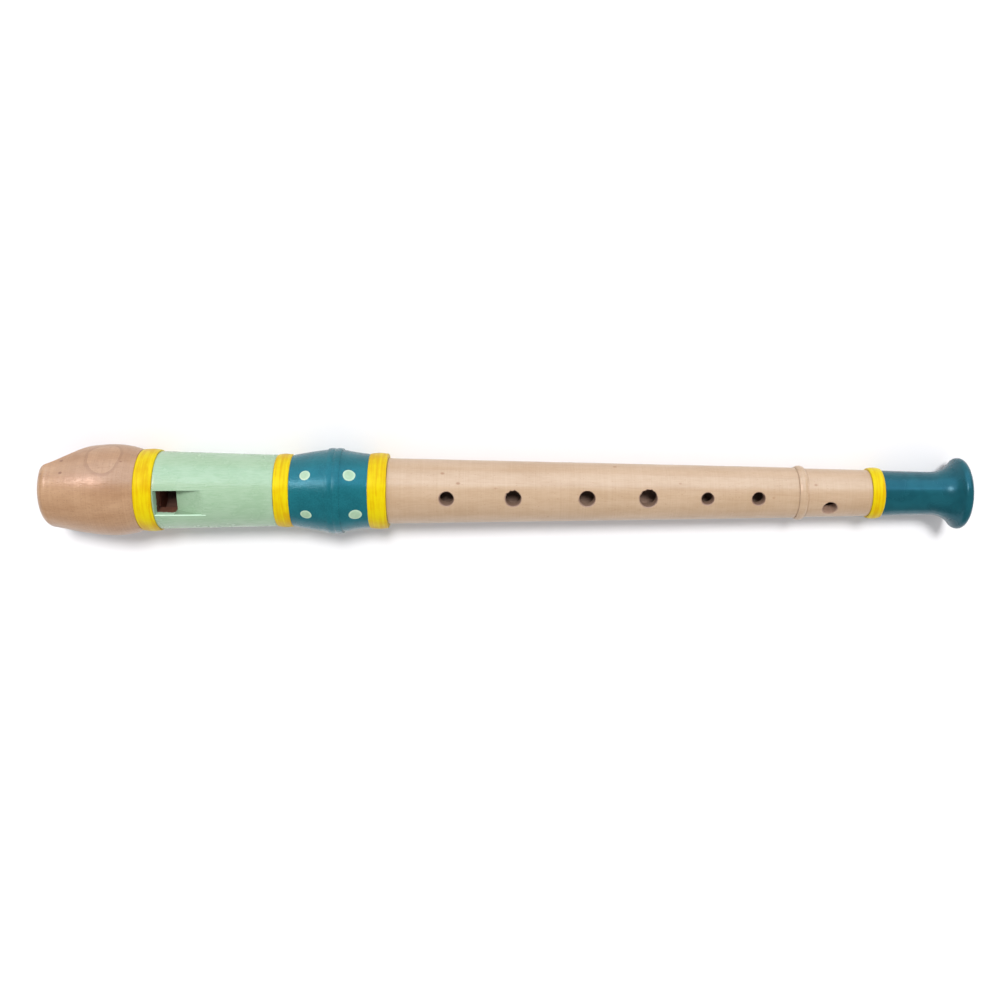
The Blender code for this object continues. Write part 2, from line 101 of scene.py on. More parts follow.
def maths(tree, operation, *values):
    """The result of a maths node."""
    return add(tree, "ShaderNodeMath", dict(enumerate(values)), operation=operation).outputs[0]


def vectors(tree, operation, *values):
    """The vector that a vector maths node gives."""
    return add(tree, "ShaderNodeVectorMath", dict(enumerate(values)), operation=operation).outputs[0]


def length_of(tree, vector):
    """The length of a vector."""
    return add(tree, "ShaderNodeVectorMath", {0: vector}, operation="LENGTH").outputs["Value"]


def scaled(tree, vector, factor):
    """A vector made longer or shorter."""
    return add(tree, "ShaderNodeVectorMath", {0: vector, "Scale": factor}, operation="SCALE").outputs[0]


def remap(tree, value, start, end, low=0, high=1, smooth=False):
    """A value's place between start and end, carried over to low and high and stopped there."""
    return add(tree, "ShaderNodeMapRange", {
        "Value": value, "From Min": start, "From Max": end, "To Min": low, "To Max": high},
        interpolation_type="SMOOTHSTEP" if smooth else "LINEAR").outputs[0]


def grain(tree, place, scale, detail, roughness=0.5):
    """The level of a noise."""
    return add(tree, "ShaderNodeTexNoise", {
        "Vector": place, "Scale": scale, "Detail": detail, "Roughness": roughness}).outputs["Fac"]


def raise_skin(tree, shader, height, relief):
    """Raises the shaded surface by a height pattern."""
    bump = add(tree, "ShaderNodeBump", {"Height": height, "Strength": 1.0, "Distance": relief}).outputs[0]
    tree.links.new(bump, shader.inputs["Normal"])


def stretched(tree, place, pitch, shift):
    """Coordinates for a pattern with one pitch along the bore and another across it."""
    return add(tree, "ShaderNodeMapping", {
        "Vector": place, "Scale": (1 / pitch[0], 1 / pitch[1], 1 / pitch[1]), "Location": shift}).outputs[0]


def linear(colour):
    """An sRGB hex colour as linear RGBA."""
    parts = [int(colour[i:i + 2], 16) / 255 for i in (1, 3, 5)]
    return (*[p / 12.92 if p <= 0.04045 else ((p + 0.055) / 1.055) ** 2.4 for p in parts], 1)


def blend(tree, share, first, second):
    """A colour between two; each is a hex colour or another node's output."""
    ends = [linear(colour) if isinstance(colour, str) else colour for colour in (first, second)]
    return add(tree, "ShaderNodeMix", {0: share, 6: ends[0], 7: ends[1]}, data_type="RGBA").outputs[2]


def new_finish(name):
    """A material with its tree, its shader, and coordinates in millimetres from the tip, on the bore."""
    made = bpy.data.materials.new(name)
    made.use_nodes = True
    tree = made.node_tree
    place = add(tree, "ShaderNodeTexCoord").outputs["Object"]
    mm = add(tree, "ShaderNodeMapping", {
        "Vector": place, "Scale": (1 / MM,) * 3, "Location": (-TIP / MM, 0, -AXIS / MM)}).outputs[0]
    return made, tree, tree.nodes["Principled BSDF"], mm


def enamel(name, colour, shade, streak, roughness, relief, seed, sheen=(0.5, "#FFFFFF")):
    """Brushed water-based enamel: an even colour with thin and full patches, and low ridges.

    streak gives the ridges' pitch in millimetres along the bore and round it, and sheen the strength
    and the tint of its gloss.
    """
    made, tree, shader, mm = new_finish(name)
    shader.inputs["Specular IOR Level"].default_value = sheen[0]
    shader.inputs["Specular Tint"].default_value = linear(sheen[1])
    patches = grain(tree, mm, 1 / 9, 3, 0.6)
    run = stretched(tree, mm, streak, (seed, seed, 0))
    ridges = add(tree, "ShaderNodeTexNoise", {
        "Vector": run, "Scale": 1, "Detail": 2.5, "Roughness": 0.55, "Distortion": 0.5}).outputs["Fac"]
    both = maths(tree, "ADD", patches, ridges)
    thin = remap(tree, both, 0.78, 1.25, smooth=True)
    tree.links.new(blend(tree, thin, colour, shade), shader.inputs["Base Color"])
    wet = remap(tree, patches, 0.3, 0.7, roughness - 0.05, roughness + 0.06)
    tree.links.new(wet, shader.inputs["Roughness"])
    raise_skin(tree, shader, ridges, relief)
    return made


def turned_wood(name, light, dark, late, pith, ring, late_share, fleck_share, roughness, seed,
                relief=0.012 * MM):
    """Close-grained wood off the lathe: growth rings round a pith line, ray flecks, fibres, tool marks.

    pith is the pith line's place from the bore, in millimetres, and ring the rings' pitch.
    """
    made, tree, shader, mm = new_finish(name)
    shader.inputs["Specular IOR Level"].default_value = 0.7
    bend = stretched(tree, mm, (60, 12), (seed, 0, seed))
    drift = add(tree, "ShaderNodeTexNoise", {
        "Vector": bend, "Scale": 1, "Detail": 2, "Roughness": 0.5}).outputs["Color"]
    centred = add(tree, "ShaderNodeMapping", {
        "Vector": mm, "Location": (0, -pith[0], -pith[1])}).outputs[0]
    warped = vectors(tree, "MULTIPLY_ADD", drift, (0, 0.5, 0.5), centred)
    across = vectors(tree, "MULTIPLY", warped, (0, 1, 1))
    reach = length_of(tree, across)
    turns = maths(tree, "DIVIDE", reach, ring)
    year = maths(tree, "FRACT", turns)
    soft = remap(tree, year, 0.5, 0.97, 0, 0.4, smooth=True)
    line = remap(tree, year, 0.965, 0.985, 0, 0.6, smooth=True)
    latewood = maths(tree, "ADD", soft, line)
    young = remap(tree, turns, 3.2, 3.6)
    latewood = maths(tree, "MULTIPLY", latewood, young)

    fibre_run = stretched(tree, mm, (3.0, 0.45), (0, seed, 0))
    fibres = grain(tree, fibre_run, 1, 3, 0.65)
    tool_run = stretched(tree, mm, (0.45, 30), (seed, 0, 0))
    marks = grain(tree, tool_run, 1, 2, 0.7)
    clouds = grain(tree, bend, 2.3, 3, 0.6)
    fleck_run = stretched(tree, mm, (1.1, 0.42), (seed, seed, seed))
    fleck_cells = add(tree, "ShaderNodeTexVoronoi", {"Vector": fleck_run, "Scale": 1, "Randomness": 1})
    fleck = remap(tree, fleck_cells.outputs["Distance"], 0.10, 0.34, 1, 0, smooth=True)
    chosen = add(tree, "ShaderNodeSeparateColor", {0: fleck_cells.outputs["Color"]}).outputs[0]
    shown = maths(tree, "LESS_THAN", chosen, fleck_share)
    flecks = maths(tree, "MULTIPLY", fleck, shown)
    pin_run = stretched(tree, mm, (9, 6), (seed, 0, seed))
    pins = add(tree, "ShaderNodeTexVoronoi", {
        "Vector": pin_run, "Scale": 1, "Randomness": 1}).outputs["Distance"]
    pins = remap(tree, pins, 0.05, 0.10, 1, 0)

    tone = maths(tree, "MULTIPLY_ADD", fibres, 0.55, 0.0)
    tone = maths(tree, "MULTIPLY_ADD", marks, 0.45, tone)
    tone = maths(tree, "MULTIPLY_ADD", clouds, 0.9, tone)
    tone = remap(tree, tone, 0.74, 1.16)
    ground = blend(tree, tone, light, dark)
    late_part = maths(tree, "MULTIPLY", latewood, late_share)
    fleck_part = maths(tree, "MULTIPLY", flecks, 0.55)
    darker = maths(tree, "MAXIMUM", late_part, fleck_part)
    darker = maths(tree, "MAXIMUM", darker, pins)
    wood = blend(tree, darker, ground, late)
    tree.links.new(wood, shader.inputs["Base Color"])

    rough = remap(tree, fibres, 0.3, 0.7, roughness - 0.05, roughness + 0.08)
    tree.links.new(rough, shader.inputs["Roughness"])
    height = maths(tree, "MULTIPLY_ADD", marks, 0.8, fibres)
    height = maths(tree, "MULTIPLY_ADD", flecks, -0.5, height)
    raise_skin(tree, shader, height, relief)
    return made


def eased(outline, radius=EASED, steps=3):
    """The closed outline with its sharp corners rounded, as sandpaper leaves them."""
    rounded = []
    count = len(outline)
    for i, corner in enumerate(outline):
        before = Vector(outline[i - 1]) - Vector(corner)
        after = Vector(outline[(i + 1) % count]) - Vector(corner)
        if before.length < 1e-9 or after.length < 1e-9:
            continue
        if before.angle(after) > math.radians(150):
            rounded.append(tuple(corner))
            continue
        reach = min(radius, before.length * 0.4, after.length * 0.4)
        start = Vector(corner) + before.normalized() * reach
        end = Vector(corner) + after.normalized() * reach
        for step in range(steps + 1):
            t = step / steps
            point = start * (1 - t) ** 2 + Vector(corner) * 2 * t * (1 - t) + end * t ** 2
            rounded.append(tuple(point))
    return rounded


def put_in(name, data):
    """A new object with the data, linked to the scene."""
    made = bpy.data.objects.new(name, data)
    bpy.context.scene.collection.objects.link(made)
    return made


def as_piece(name, work, finish, turn=None):
    """Makes a closed bmesh an object; a turn also carries it from the origin to the bore's axis."""
    bmesh.ops.recalc_face_normals(work, faces=work.faces)
    if turn is not None:
        work.transform(Matrix.Translation((0, 0, AXIS)) @ Matrix.Rotation(turn, 4, "X"))
    mesh = bpy.data.meshes.new(name)
    work.to_mesh(mesh)
    work.free()
    mesh.materials.append(finish)
    return put_in(name, mesh)


def turned(name, outline, finish):
    """A closed (x, radius) outline turned round the bore, with rows of points along its straights."""
    points = []
    for (x1, r1), (x2, r2) in zip(outline, outline[1:] + outline[:1]):
        count = max(1, math.ceil(math.hypot(x2 - x1, r2 - r1) / LATHE_STEP))
        points += [(x1 + (x2 - x1) * i / count, r1 + (r2 - r1) * i / count) for i in range(count)]
    work = bmesh.new()
    verts = [work.verts.new((x, 0, AXIS + radius)) for x, radius in points]
    edges = [work.edges.new(pair) for pair in zip(verts, verts[1:] + verts[:1])]
    bmesh.ops.spin(work, geom=verts + edges, cent=(0, 0, AXIS), axis=(1, 0, 0),
                   angle=2 * math.pi, steps=SIDES, use_merge=True)
    bmesh.ops.remove_doubles(work, verts=work.verts, dist=0.001 * MM)
    return as_piece(name, work, finish)


def leave_bare(piece, wood, start, end, radius):
    """Faces beyond the painted stretch, or nearer the bore's axis than radius, stay bare wood."""
    piece.data.materials.append(wood)
    for face in piece.data.polygons:
        x, y, z = face.center
        painted = start - EASED < x < end + EASED and math.hypot(y, z - AXIS) > radius
        face.material_index = 0 if painted else 1


def bar(name, outline, width, turn, finish):
    """A cutter: a closed (x, height over the bore's axis) outline, width across, turned round the bore."""
    work = bmesh.new()
    face = work.faces.new([work.verts.new((x, -width / 2, z)) for x, z in outline])
    grown = bmesh.ops.extrude_face_region(work, geom=[face])
    moved = [item for item in grown["geom"] if isinstance(item, bmesh.types.BMVert)]
    bmesh.ops.translate(work, verts=moved, vec=(0, width, 0))
    return as_piece(name, work, finish, turn)


def settle(piece):
    """Turns a piece with its modifiers into a plain mesh."""
    seen = piece.evaluated_get(bpy.context.evaluated_depsgraph_get())
    mesh = bpy.data.meshes.new_from_object(seen)
    piece.modifiers.clear()
    piece.data = mesh


def carve(piece, *tools):
    """Cuts tools out of a piece; the cut faces take the tool's finish."""
    for tool in tools:
        boolean = piece.modifiers.new(tool.name, "BOOLEAN")
        boolean.operation = "DIFFERENCE"
        boolean.solver = "EXACT"
        boolean.material_mode = "TRANSFER"
        boolean.object = tool
    settle(piece)
    for tool in tools:
        bpy.data.objects.remove(tool, do_unlink=True)


def fit(piece, body, slot, *nodes):
    """Shades a finished piece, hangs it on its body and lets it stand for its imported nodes."""
    piece.data.shade_smooth()
    piece.data.set_sharp_from_angle(angle=SHARP)
    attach(piece, body)
    if nodes:
        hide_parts(*nodes)


# Mint enamel over beech: satin, with the raised grain standing in short wavy ridges along the tube
mint = enamel("mint_enamel_on_beech", "#9BB69A", "#8FAD8E", (3.6, 0.5), 0.25, 0.090 * MM, 3.1)
# Bare beech inside the bores, sockets and windway: pinkish and unpolished, its colour darkened as painted
# shade for these hollows
beech_with_painted_shade = turned_wood("bored_beech_painted_shade", "#6A4C40", "#56403A", "#442F28", (-8, 40), 1.9, 0.35, 0.5, 0.7, 2.4)

# The window's walls: the brush reached only their upper part and left a ragged edge over bare beech
window_walls, tree, shader, mm = new_finish("mint_enamel_over_bare_beech")
rolled = add(tree, "ShaderNodeVectorRotate", {
    "Vector": mm, "Angle": -HEAD_TURN}, rotation_type="X_AXIS").outputs[0]
upright = add(tree, "ShaderNodeSeparateXYZ", {0: rolled}).outputs
ragged = grain(tree, mm, 1 / 1.1, 3)
ragged = maths(tree, "MULTIPLY_ADD", ragged, 2.6, upright["Z"])
brushed = remap(tree, ragged, 10.9, 11.1)
wood_grain = grain(tree, mm, 1 / 0.8, 3)
wall_wood = blend(tree, wood_grain, "#8E5C4A", "#573A30")
wall_colour = blend(tree, brushed, wall_wood, "#BBDABF")
tree.links.new(wall_colour, shader.inputs["Base Color"])
shader.inputs["Roughness"].default_value = 0.5

spigot_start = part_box("head_tube")[0].x
spigot_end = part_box("head_tube")[1].x
head_tube = turned("painted_head_tube", eased([
    (spigot_start, HEAD_BORE), (spigot_start, BEAK_SPIGOT), (TUBE_START, BEAK_SPIGOT),
    (TUBE_START, TUBE_RADII[0]), (TUBE_END, TUBE_RADII[1]),
    (TUBE_END, BARREL_SPIGOT), (spigot_end, BARREL_SPIGOT), (spigot_end, HEAD_BORE),
]), mint)
leave_bare(head_tube, beech_with_painted_shade, TUBE_START, TUBE_END, HEAD_BORE + WALL_SHOWN)

windway = [
    (TIP - OVERCUT, WINDWAY_FLOOR), (WINDOW_AT + OVERCUT, WINDWAY_FLOOR),
    (WINDOW_AT + OVERCUT, WINDWAY_ROOF), (TIP - OVERCUT, WINDWAY_ROOF),
]
edge_x = WINDOW_AT + WINDOW_LENGTH
ramp_rise = TUBE_RADII[0] - EDGE_HEIGHT
window_top = 2 * TUBE_RADII[0]
ramp = [(edge_x - RAMP_OVERLAP, EDGE_HEIGHT)]
for i in range(1, RAMP_STEPS + 1):
    share = i / RAMP_STEPS
    risen = share + RAMP_CURVE * (share - share ** 2)
    ramp.append((edge_x + RAMP_LENGTH * share, EDGE_HEIGHT + ramp_rise * risen))
ramp += [(edge_x + RAMP_LENGTH, window_top), (edge_x - RAMP_OVERLAP, window_top)]
opening = [(WINDOW_AT, 0), (edge_x, 0), (edge_x, window_top), (WINDOW_AT, window_top)]
carve(
    head_tube,
    bar("windway_exit_cutter", windway, WINDWAY_WIDTH, HEAD_TURN, beech_with_painted_shade),
    bar("ramp_cutter", ramp, WINDOW_WIDTH, HEAD_TURN, mint),
    bar("opening_cutter", opening, WINDOW_WIDTH, HEAD_TURN, window_walls),
)


def thread(piece, points, radius, finish, sides=8):
    """Adds a thin round thread through the points to a piece, in the finish of that number."""
    work = bmesh.new()
    work.from_mesh(piece.data)
    rings = []
    for i, point in enumerate(points):
        before, after = points[max(i - 1, 0)], points[min(i + 1, len(points) - 1)]
        along = (after - before).normalized()
        side = along.cross(Vector((0, 0, 1)) if abs(along.z) < 0.9 else Vector((1, 0, 0))).normalized()
        up = side.cross(along)
        ring = []
        for k in range(sides):
            turn = 2 * math.pi * k / sides
            ring.append(work.verts.new(point + radius * (side * math.cos(turn) + up * math.sin(turn))))
        rings.append(ring)
    for first, second in zip(rings, rings[1:]):
        for k in range(sides):
            skin = work.faces.new((first[k], second[k], second[(k + 1) % sides], first[(k + 1) % sides]))
            skin.material_index = finish
    for ends in (rings[0], rings[-1]):
        work.faces.new(ends).material_index = finish
    bmesh.ops.recalc_face_normals(work, faces=work.faces)
    work.to_mesh(piece.data)
    work.free()


# The enamel gathered in a bead along the window's and the ramp's long edges. The bead on the -Y edge is
# coloured a paler mint as a painted highlight.
RIM_BEAD = 0.24 * MM
RIM_SINK = 0.13 * MM                   # of the bead's middle below the surface
RIM_SHARE = 0.90                       # of the ramp, from the window on
RIM_STEPS = 32
# A paler mint: a painted highlight on the bead along the window's -Y edge
mint_bead_painted_highlight = enamel("mint_enamel_bead_painted_highlight", "#C9E6CE", "#BFE0C5", (3.6, 3.6), 0.22, 0.02 * MM, 3.1)
head_tube.data.materials.append(mint_bead_painted_highlight)
for side in (-1, 1):
    rim_points = []
    for i in range(RIM_STEPS + 1):
        x = WINDOW_AT + (WINDOW_LENGTH + RIM_SHARE * RAMP_LENGTH) * i / RIM_STEPS
        reach = TUBE_RADII[0] + (TUBE_RADII[1] - TUBE_RADII[0]) * (x - TUBE_START) / (TUBE_END - TUBE_START)
        y = side * WINDOW_WIDTH / 2
        lifted = Vector((x, y, math.sqrt(reach ** 2 - y ** 2) - RIM_SINK))
        rim_points.append(Matrix.Translation((0, 0, AXIS)) @ Matrix.Rotation(HEAD_TURN, 4, "X") @ lifted)
    thread(head_tube, rim_points, RIM_BEAD, len(head_tube.data.materials) - 1 if side < 0 else 0)
fit(head_tube, "head", "mint_enamel", "head_tube")

# ---------------------------------------------------------------- mouthpiece
# The mouthpiece: beech turned to a rounded tip and a bulge, with the windway's roof cut in it and
# the underside hollowed to a beak. It is only oiled, so its pinkish grain and tool marks show.

SPIGOT_FIT = 0.1 * MM
MOUTHPIECE_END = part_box("beak_ring")[0].x - GLUE_GAP / 2
TIP_FACE_RADIUS = 8.6 * MM
TIP_ROUND_LENGTH = 3.8 * MM
CHEEK_RADIUS = 13.3 * MM
BULGE_RADIUS = 16.1 * MM
BULGE_AT = TIP + 23.4 * MM
MOUTHPIECE_END_RADIUS = 14.3 * MM
BEAK_CUT_RADIUS = 22.0 * MM
BEAK_CUT_HEIGHT = 3.9 * MM
BEAK_CUT_LEAD = 2.7 * MM
BEAK_TURN = HEAD_TURN + math.radians(13)


def smooth(points, steps):
    """A Catmull-Rom curve through given points."""
    guides = [points[0]] + list(points) + [points[-1]]
    curve = []
    for before, start, end, after in zip(guides, guides[1:], guides[2:], guides[3:]):
        for step in range(steps):
            t = step / steps
            curve.append(tuple(
                0.5 * (2 * b + (c - a) * t + (2 * a - 5 * b + 4 * c - d) * t * t
                       + (3 * b - a - 3 * c + d) * t ** 3)
                for a, b, c, d in zip(before, start, end, after)))
    return curve + [points[-1]]


def arc(centre, radii, start, end, steps):
    """Points (x, radius) on an arc or a quarter of an oval, with angles in degrees from +X outwards."""
    points = []
    for step in range(steps + 1):
        angle = math.radians(start + (end - start) * step / steps)
        points.append((centre[0] + radii[0] * math.cos(angle), centre[1] + radii[1] * math.sin(angle)))
    return points


def beak_cutter(name, finish):
    """The round cutter that hollows the beak's underside."""
    crest = BEAK_CUT_HEIGHT + BEAK_CUT_RADIUS - math.sqrt(BEAK_CUT_RADIUS ** 2 - BEAK_CUT_LEAD ** 2)
    centre = (TIP - BEAK_CUT_LEAD, crest - BEAK_CUT_RADIUS)
    outline = arc(centre, (BEAK_CUT_RADIUS, BEAK_CUT_RADIUS), 0, 357.5, 143)
    return bar(name, outline, 3 * BULGE_RADIUS, BEAK_TURN, finish)


# Oiled beech: warm pinkish brown with fine dark ray flecks; the bulge cuts one growth ring as an oval
beech = turned_wood("oiled_beech", "#B38E6D", "#A07958", "#7F563A", (-5.4, -3.0), 5.53, 0.42, 0.55, 0.32, 7.3,
                    0.04 * MM)
# End grain and cut faces of the same beech soak up more oil and look darker
beech_cut = turned_wood("cut_beech", "#9A714F", "#865E40", "#68442B", (-5.4, -3.0), 2.1, 0.4, 0.5, 0.55, 7.3)

length = MOUTHPIECE_END - TIP
tip_round = arc((TIP + TIP_ROUND_LENGTH, TIP_FACE_RADIUS),
                (TIP_ROUND_LENGTH, CHEEK_RADIUS - TIP_FACE_RADIUS), 180, 90, 16)
bulge = smooth([
    tip_round[-1],
    (TIP + 14.0 * MM, CHEEK_RADIUS + 1.9 * MM),
    (BULGE_AT, BULGE_RADIUS),
    (BULGE_AT + 6.5 * MM, BULGE_RADIUS - 0.58 * MM),
    (MOUTHPIECE_END, MOUTHPIECE_END_RADIUS),
], 12)
mouthpiece = turned("oiled_mouthpiece", eased(tip_round + bulge[1:] + [
    (MOUTHPIECE_END, BEAK_SPIGOT + SPIGOT_FIT), (spigot_start - GLUE_GAP, BEAK_SPIGOT + SPIGOT_FIT),
    (spigot_start - GLUE_GAP, HEAD_BORE), (TIP, HEAD_BORE),
]), beech)
carve(
    mouthpiece,
    bar("windway_roof_cutter", windway, WINDWAY_WIDTH, HEAD_TURN, beech_cut),
    beak_cutter("beak_cutter", beech_cut),
)
fit(mouthpiece, "head", "oiled_beech", "mouthpiece")

# ---------------------------------------------------------------- block
# The block, or fipple: a cedar plug pushed into the head bore from the tip. Its flat top is the
# windway's floor, and its far end stands just short of the window.

BLOCK_RADIUS = 6.6 * MM
BLOCK_CHAMFER = 0.8 * MM

# Cedar: soft red-brown, dry and matt, with close growth rings
cedar = turned_wood("cedar", "#8A4A35", "#6E3829", "#4A231A", (14, 9), 1.1, 0.6, 0.2, 0.75, 5.9)

block_end = WINDOW_AT - GLUE_GAP
block = turned("cedar_block", [
    (TIP, 0), (TIP, BLOCK_RADIUS), (block_end, BLOCK_RADIUS), (block_end, 0)], cedar)
block_flat = [
    (TIP - OVERCUT, WINDWAY_FLOOR), (block_end - BLOCK_CHAMFER, WINDWAY_FLOOR),
    (block_end + BLOCK_CHAMFER, WINDWAY_FLOOR - 2 * BLOCK_CHAMFER),
    (block_end + BLOCK_CHAMFER, 2 * HEAD_BORE), (TIP - OVERCUT, 2 * HEAD_BORE),
]
carve(
    block,
    bar("block_flat_cutter", block_flat, 4 * HEAD_BORE, HEAD_TURN, cedar),
    beak_cutter("block_beak_cutter", cedar),
)
fit(block, "block", "cedar", "fipple_block")

# ---------------------------------------------------------------- rings
# Four turned rings, glued over the spigots between the sections. Each has a low crown and is painted
# by hand in yellow enamel while it turns, which leaves ridges round it and an edge that wanders.

RING_CROWN = 0.45 * MM
RING_CORNER = 0.24 * MM
RIDGE_HEIGHT = 0.16 * MM
EDGE_WANDER = 0.30 * MM
STROKES = (70, 70, 760)                # the brush ridges' scale across and along a ring
STROKE_LEVEL = 0.85                    # of the fullest ridges, which stay at the crown
WANDER_SCALE = 190                     # of the noise that sways the painted edges
SOCKET_RING_GAP = 0.05 * MM            # before the middle joint's shoulder


def shape_by(piece, tree, values):
    """Hangs a geometry tree on a piece, sets its inputs by identifier and keeps the plain mesh."""
    modifier = piece.modifiers.new(tree.name, "NODES")
    modifier.node_group = tree
    for socket in tree.interface.items_tree:
        if socket.in_out == "INPUT":
            modifier[socket.identifier] = values[socket.name]
    settle(piece)


def new_rule(name, inputs):
    """A geometry tree with named inputs, and the sockets that they come in by."""
    tree = bpy.data.node_groups.new(name, "GeometryNodeTree")
    for label, kind in inputs.items():
        tree.interface.new_socket(label, in_out="INPUT", socket_type="NodeSocket" + kind)
    tree.interface.new_socket("Geometry", in_out="OUTPUT", socket_type="NodeSocketGeometry")
    return tree, add(tree, "NodeGroupInput").outputs


def seeded_noise(tree, place, seed, scale):
    """A noise whose pattern changes with the seed."""
    return add(tree, "ShaderNodeTexNoise", {
        "Vector": place, "W": seed, "Scale": scale, "Detail": 1}, noise_dimensions="4D").outputs


def end_rule(tree, geometry, finish):
    """Ends a geometry tree: real meshes, smooth, in one finish."""
    real = add(tree, "GeometryNodeRealizeInstances", {"Geometry": geometry}).outputs[0]
    even = add(tree, "GeometryNodeSetShadeSmooth", {"Geometry": real}).outputs[0]
    coated = add(tree, "GeometryNodeSetMaterial", {"Geometry": even, "Material": finish}).outputs[0]
    add(tree, "NodeGroupOutput", {"Geometry": coated})


ring_rule, given = new_rule("painted_ring", {
    "Centre": "Vector", "Width": "Float", "Inner Radius": "Float", "Outer Radius": "Float",
    "Crown": "Float", "Corner": "Float", "Ridge Height": "Float", "Edge Wander": "Float",
    "Seed": "Float", "Finish": "Material"})
wall = maths(ring_rule, "SUBTRACT", given["Outer Radius"], given["Inner Radius"])
wall = maths(ring_rule, "SUBTRACT", wall, given["Crown"])
middle_radius = maths(ring_rule, "MULTIPLY_ADD", wall, 0.5, given["Inner Radius"])
section = add(ring_rule, "GeometryNodeCurvePrimitiveQuadrilateral", {
    "Width": wall, "Height": given["Width"]}).outputs[0]
section = add(ring_rule, "GeometryNodeFilletCurve", {
    "Curve": section, "Count": 4, "Radius": given["Corner"]}, mode="POLY").outputs[0]
section = add(ring_rule, "GeometryNodeResampleCurve", {"Curve": section, "Count": 72}).outputs[0]
path = add(ring_rule, "GeometryNodeCurvePrimitiveCircle", {
    "Resolution": SIDES, "Radius": middle_radius}).outputs[0]
swept = add(ring_rule, "GeometryNodeCurveToMesh", {"Curve": path, "Profile Curve": section}).outputs[0]
here = add(ring_rule, "GeometryNodeInputPosition").outputs[0]
flat = vectors(ring_rule, "MULTIPLY", here, (1, 1, 0))
outward = vectors(ring_rule, "NORMALIZE", flat)
distance = length_of(ring_rule, flat)
along = add(ring_rule, "ShaderNodeSeparateXYZ", {0: here}).outputs["Z"]
half = maths(ring_rule, "MULTIPLY", given["Width"], 0.5)
share = maths(ring_rule, "DIVIDE", along, half)
falls = maths(ring_rule, "POWER", share, 2)
arch = maths(ring_rule, "SUBTRACT", 1, falls)
top = remap(ring_rule, distance, given["Inner Radius"], given["Outer Radius"])
arch_rise = maths(ring_rule, "MULTIPLY", arch, given["Crown"])
strokes = vectors(ring_rule, "MULTIPLY", here, STROKES)
brush = seeded_noise(ring_rule, strokes, given["Seed"], 1)["Fac"]
ridge = maths(ring_rule, "SUBTRACT", brush, STROKE_LEVEL)
ridge_arch = maths(ring_rule, "MULTIPLY", ridge, arch)
rise = maths(ring_rule, "MULTIPLY_ADD", ridge_arch, given["Ridge Height"], arch_rise)
rise = maths(ring_rule, "MULTIPLY", rise, top)
lift = scaled(ring_rule, outward, rise)
hand = seeded_noise(ring_rule, here, given["Seed"], WANDER_SCALE)["Fac"]
sway = maths(ring_rule, "SUBTRACT", hand, 0.5)
sway = maths(ring_rule, "MULTIPLY", sway, given["Edge Wander"])
sway = maths(ring_rule, "MULTIPLY", sway, falls)
shift = add(ring_rule, "ShaderNodeCombineXYZ", {"Z": sway}).outputs[0]
offset = vectors(ring_rule, "ADD", lift, shift)
moved = add(ring_rule, "GeometryNodeSetPosition", {"Geometry": swept, "Offset": offset}).outputs[0]
placed = add(ring_rule, "GeometryNodeTransform", {
    "Geometry": moved, "Translation": given["Centre"], "Rotation": (0, math.pi / 2, 0)}).outputs[0]
end_rule(ring_rule, placed, given["Finish"])

# Yellow enamel: strong, satin, a little thinner and more orange between the brush ridges
yellow = enamel("yellow_enamel", "#D3BE0A", "#C79D02", (0.75, 14), 0.38, 0.02 * MM, 1.7, (0.2, "#F7FC95"))

for name, inner, outer, body, seed in (
    ("beak_ring", BEAK_SPIGOT, 14.65 * MM, "head", 1.3),
    ("barrel_ring", BARREL_SPIGOT, 13.1 * MM, "head", 4.1),
    ("socket_ring", 11.0 * MM, 13.55 * MM, "head", 6.7),
    ("foot_ring", 6.4 * MM, 9.15 * MM, "foot", 8.2),
):
    start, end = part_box(name)[0].x - GLUE_GAP / 2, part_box(name)[1].x + GLUE_GAP / 2
    if name == "socket_ring":
        end -= SOCKET_RING_GAP
    ring = put_in("painted_" + name, bpy.data.meshes.new(name))
    shape_by(ring, ring_rule, {
        "Centre": ((start + end) / 2, 0, AXIS), "Width": end - start, "Inner Radius": inner + SPIGOT_FIT,
        "Outer Radius": outer, "Crown": RING_CROWN, "Corner": RING_CORNER, "Ridge Height": RIDGE_HEIGHT,
        "Edge Wander": EDGE_WANDER, "Seed": seed, "Finish": yellow})
    fit(ring, body, "yellow_enamel", name)

# ---------------------------------------------------------------- barrel
# The thick barrel that holds the middle joint's tenon: turned, with a double bead round its widest
# place, brushed teal. Its left half is glued on the head tube, and its lip is inside the third ring.

BARREL_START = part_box("barrel_ring")[1].x + GLUE_GAP / 2
BARREL_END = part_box("socket_ring")[0].x - GLUE_GAP / 2
BARREL_END_RADII = (12.6 * MM, 13.0 * MM)
WAIST_RADII = (14.6 * MM, 14.5 * MM)
BEAD_RADIUS = 15.1 * MM
BEAD_CROWN = 0.20 * MM
BEAD_WIDTH = 2.5 * MM
BEAD_GROOVE_AT = BARREL_START + 15.0 * MM
SOCKET_RADIUS = 9.9 * MM
SOCKET_LIP_RADIUS = 11.0 * MM
SOCKET_DEPTH = 20.1 * MM
BARREL_SPIGOT_DEPTH = 10.0 * MM
BARREL_SWELL = 0.12 * MM


def crown(start, width, top, rise, steps=10):
    """A low arch across a bead, from its left edge to its right edge."""
    return [(start + width * i / steps, top - rise * (1 - 2 * i / steps) ** 2) for i in range(steps + 1)]


# Teal enamel: deep blue-green, glossier than the mint, brushed round the turned wood
teal = enamel("teal_enamel", "#1C646E", "#155760", (0.45, 0.5), 0.20, 0.085 * MM, 8.8, (0.5, "#8FDCFF"))

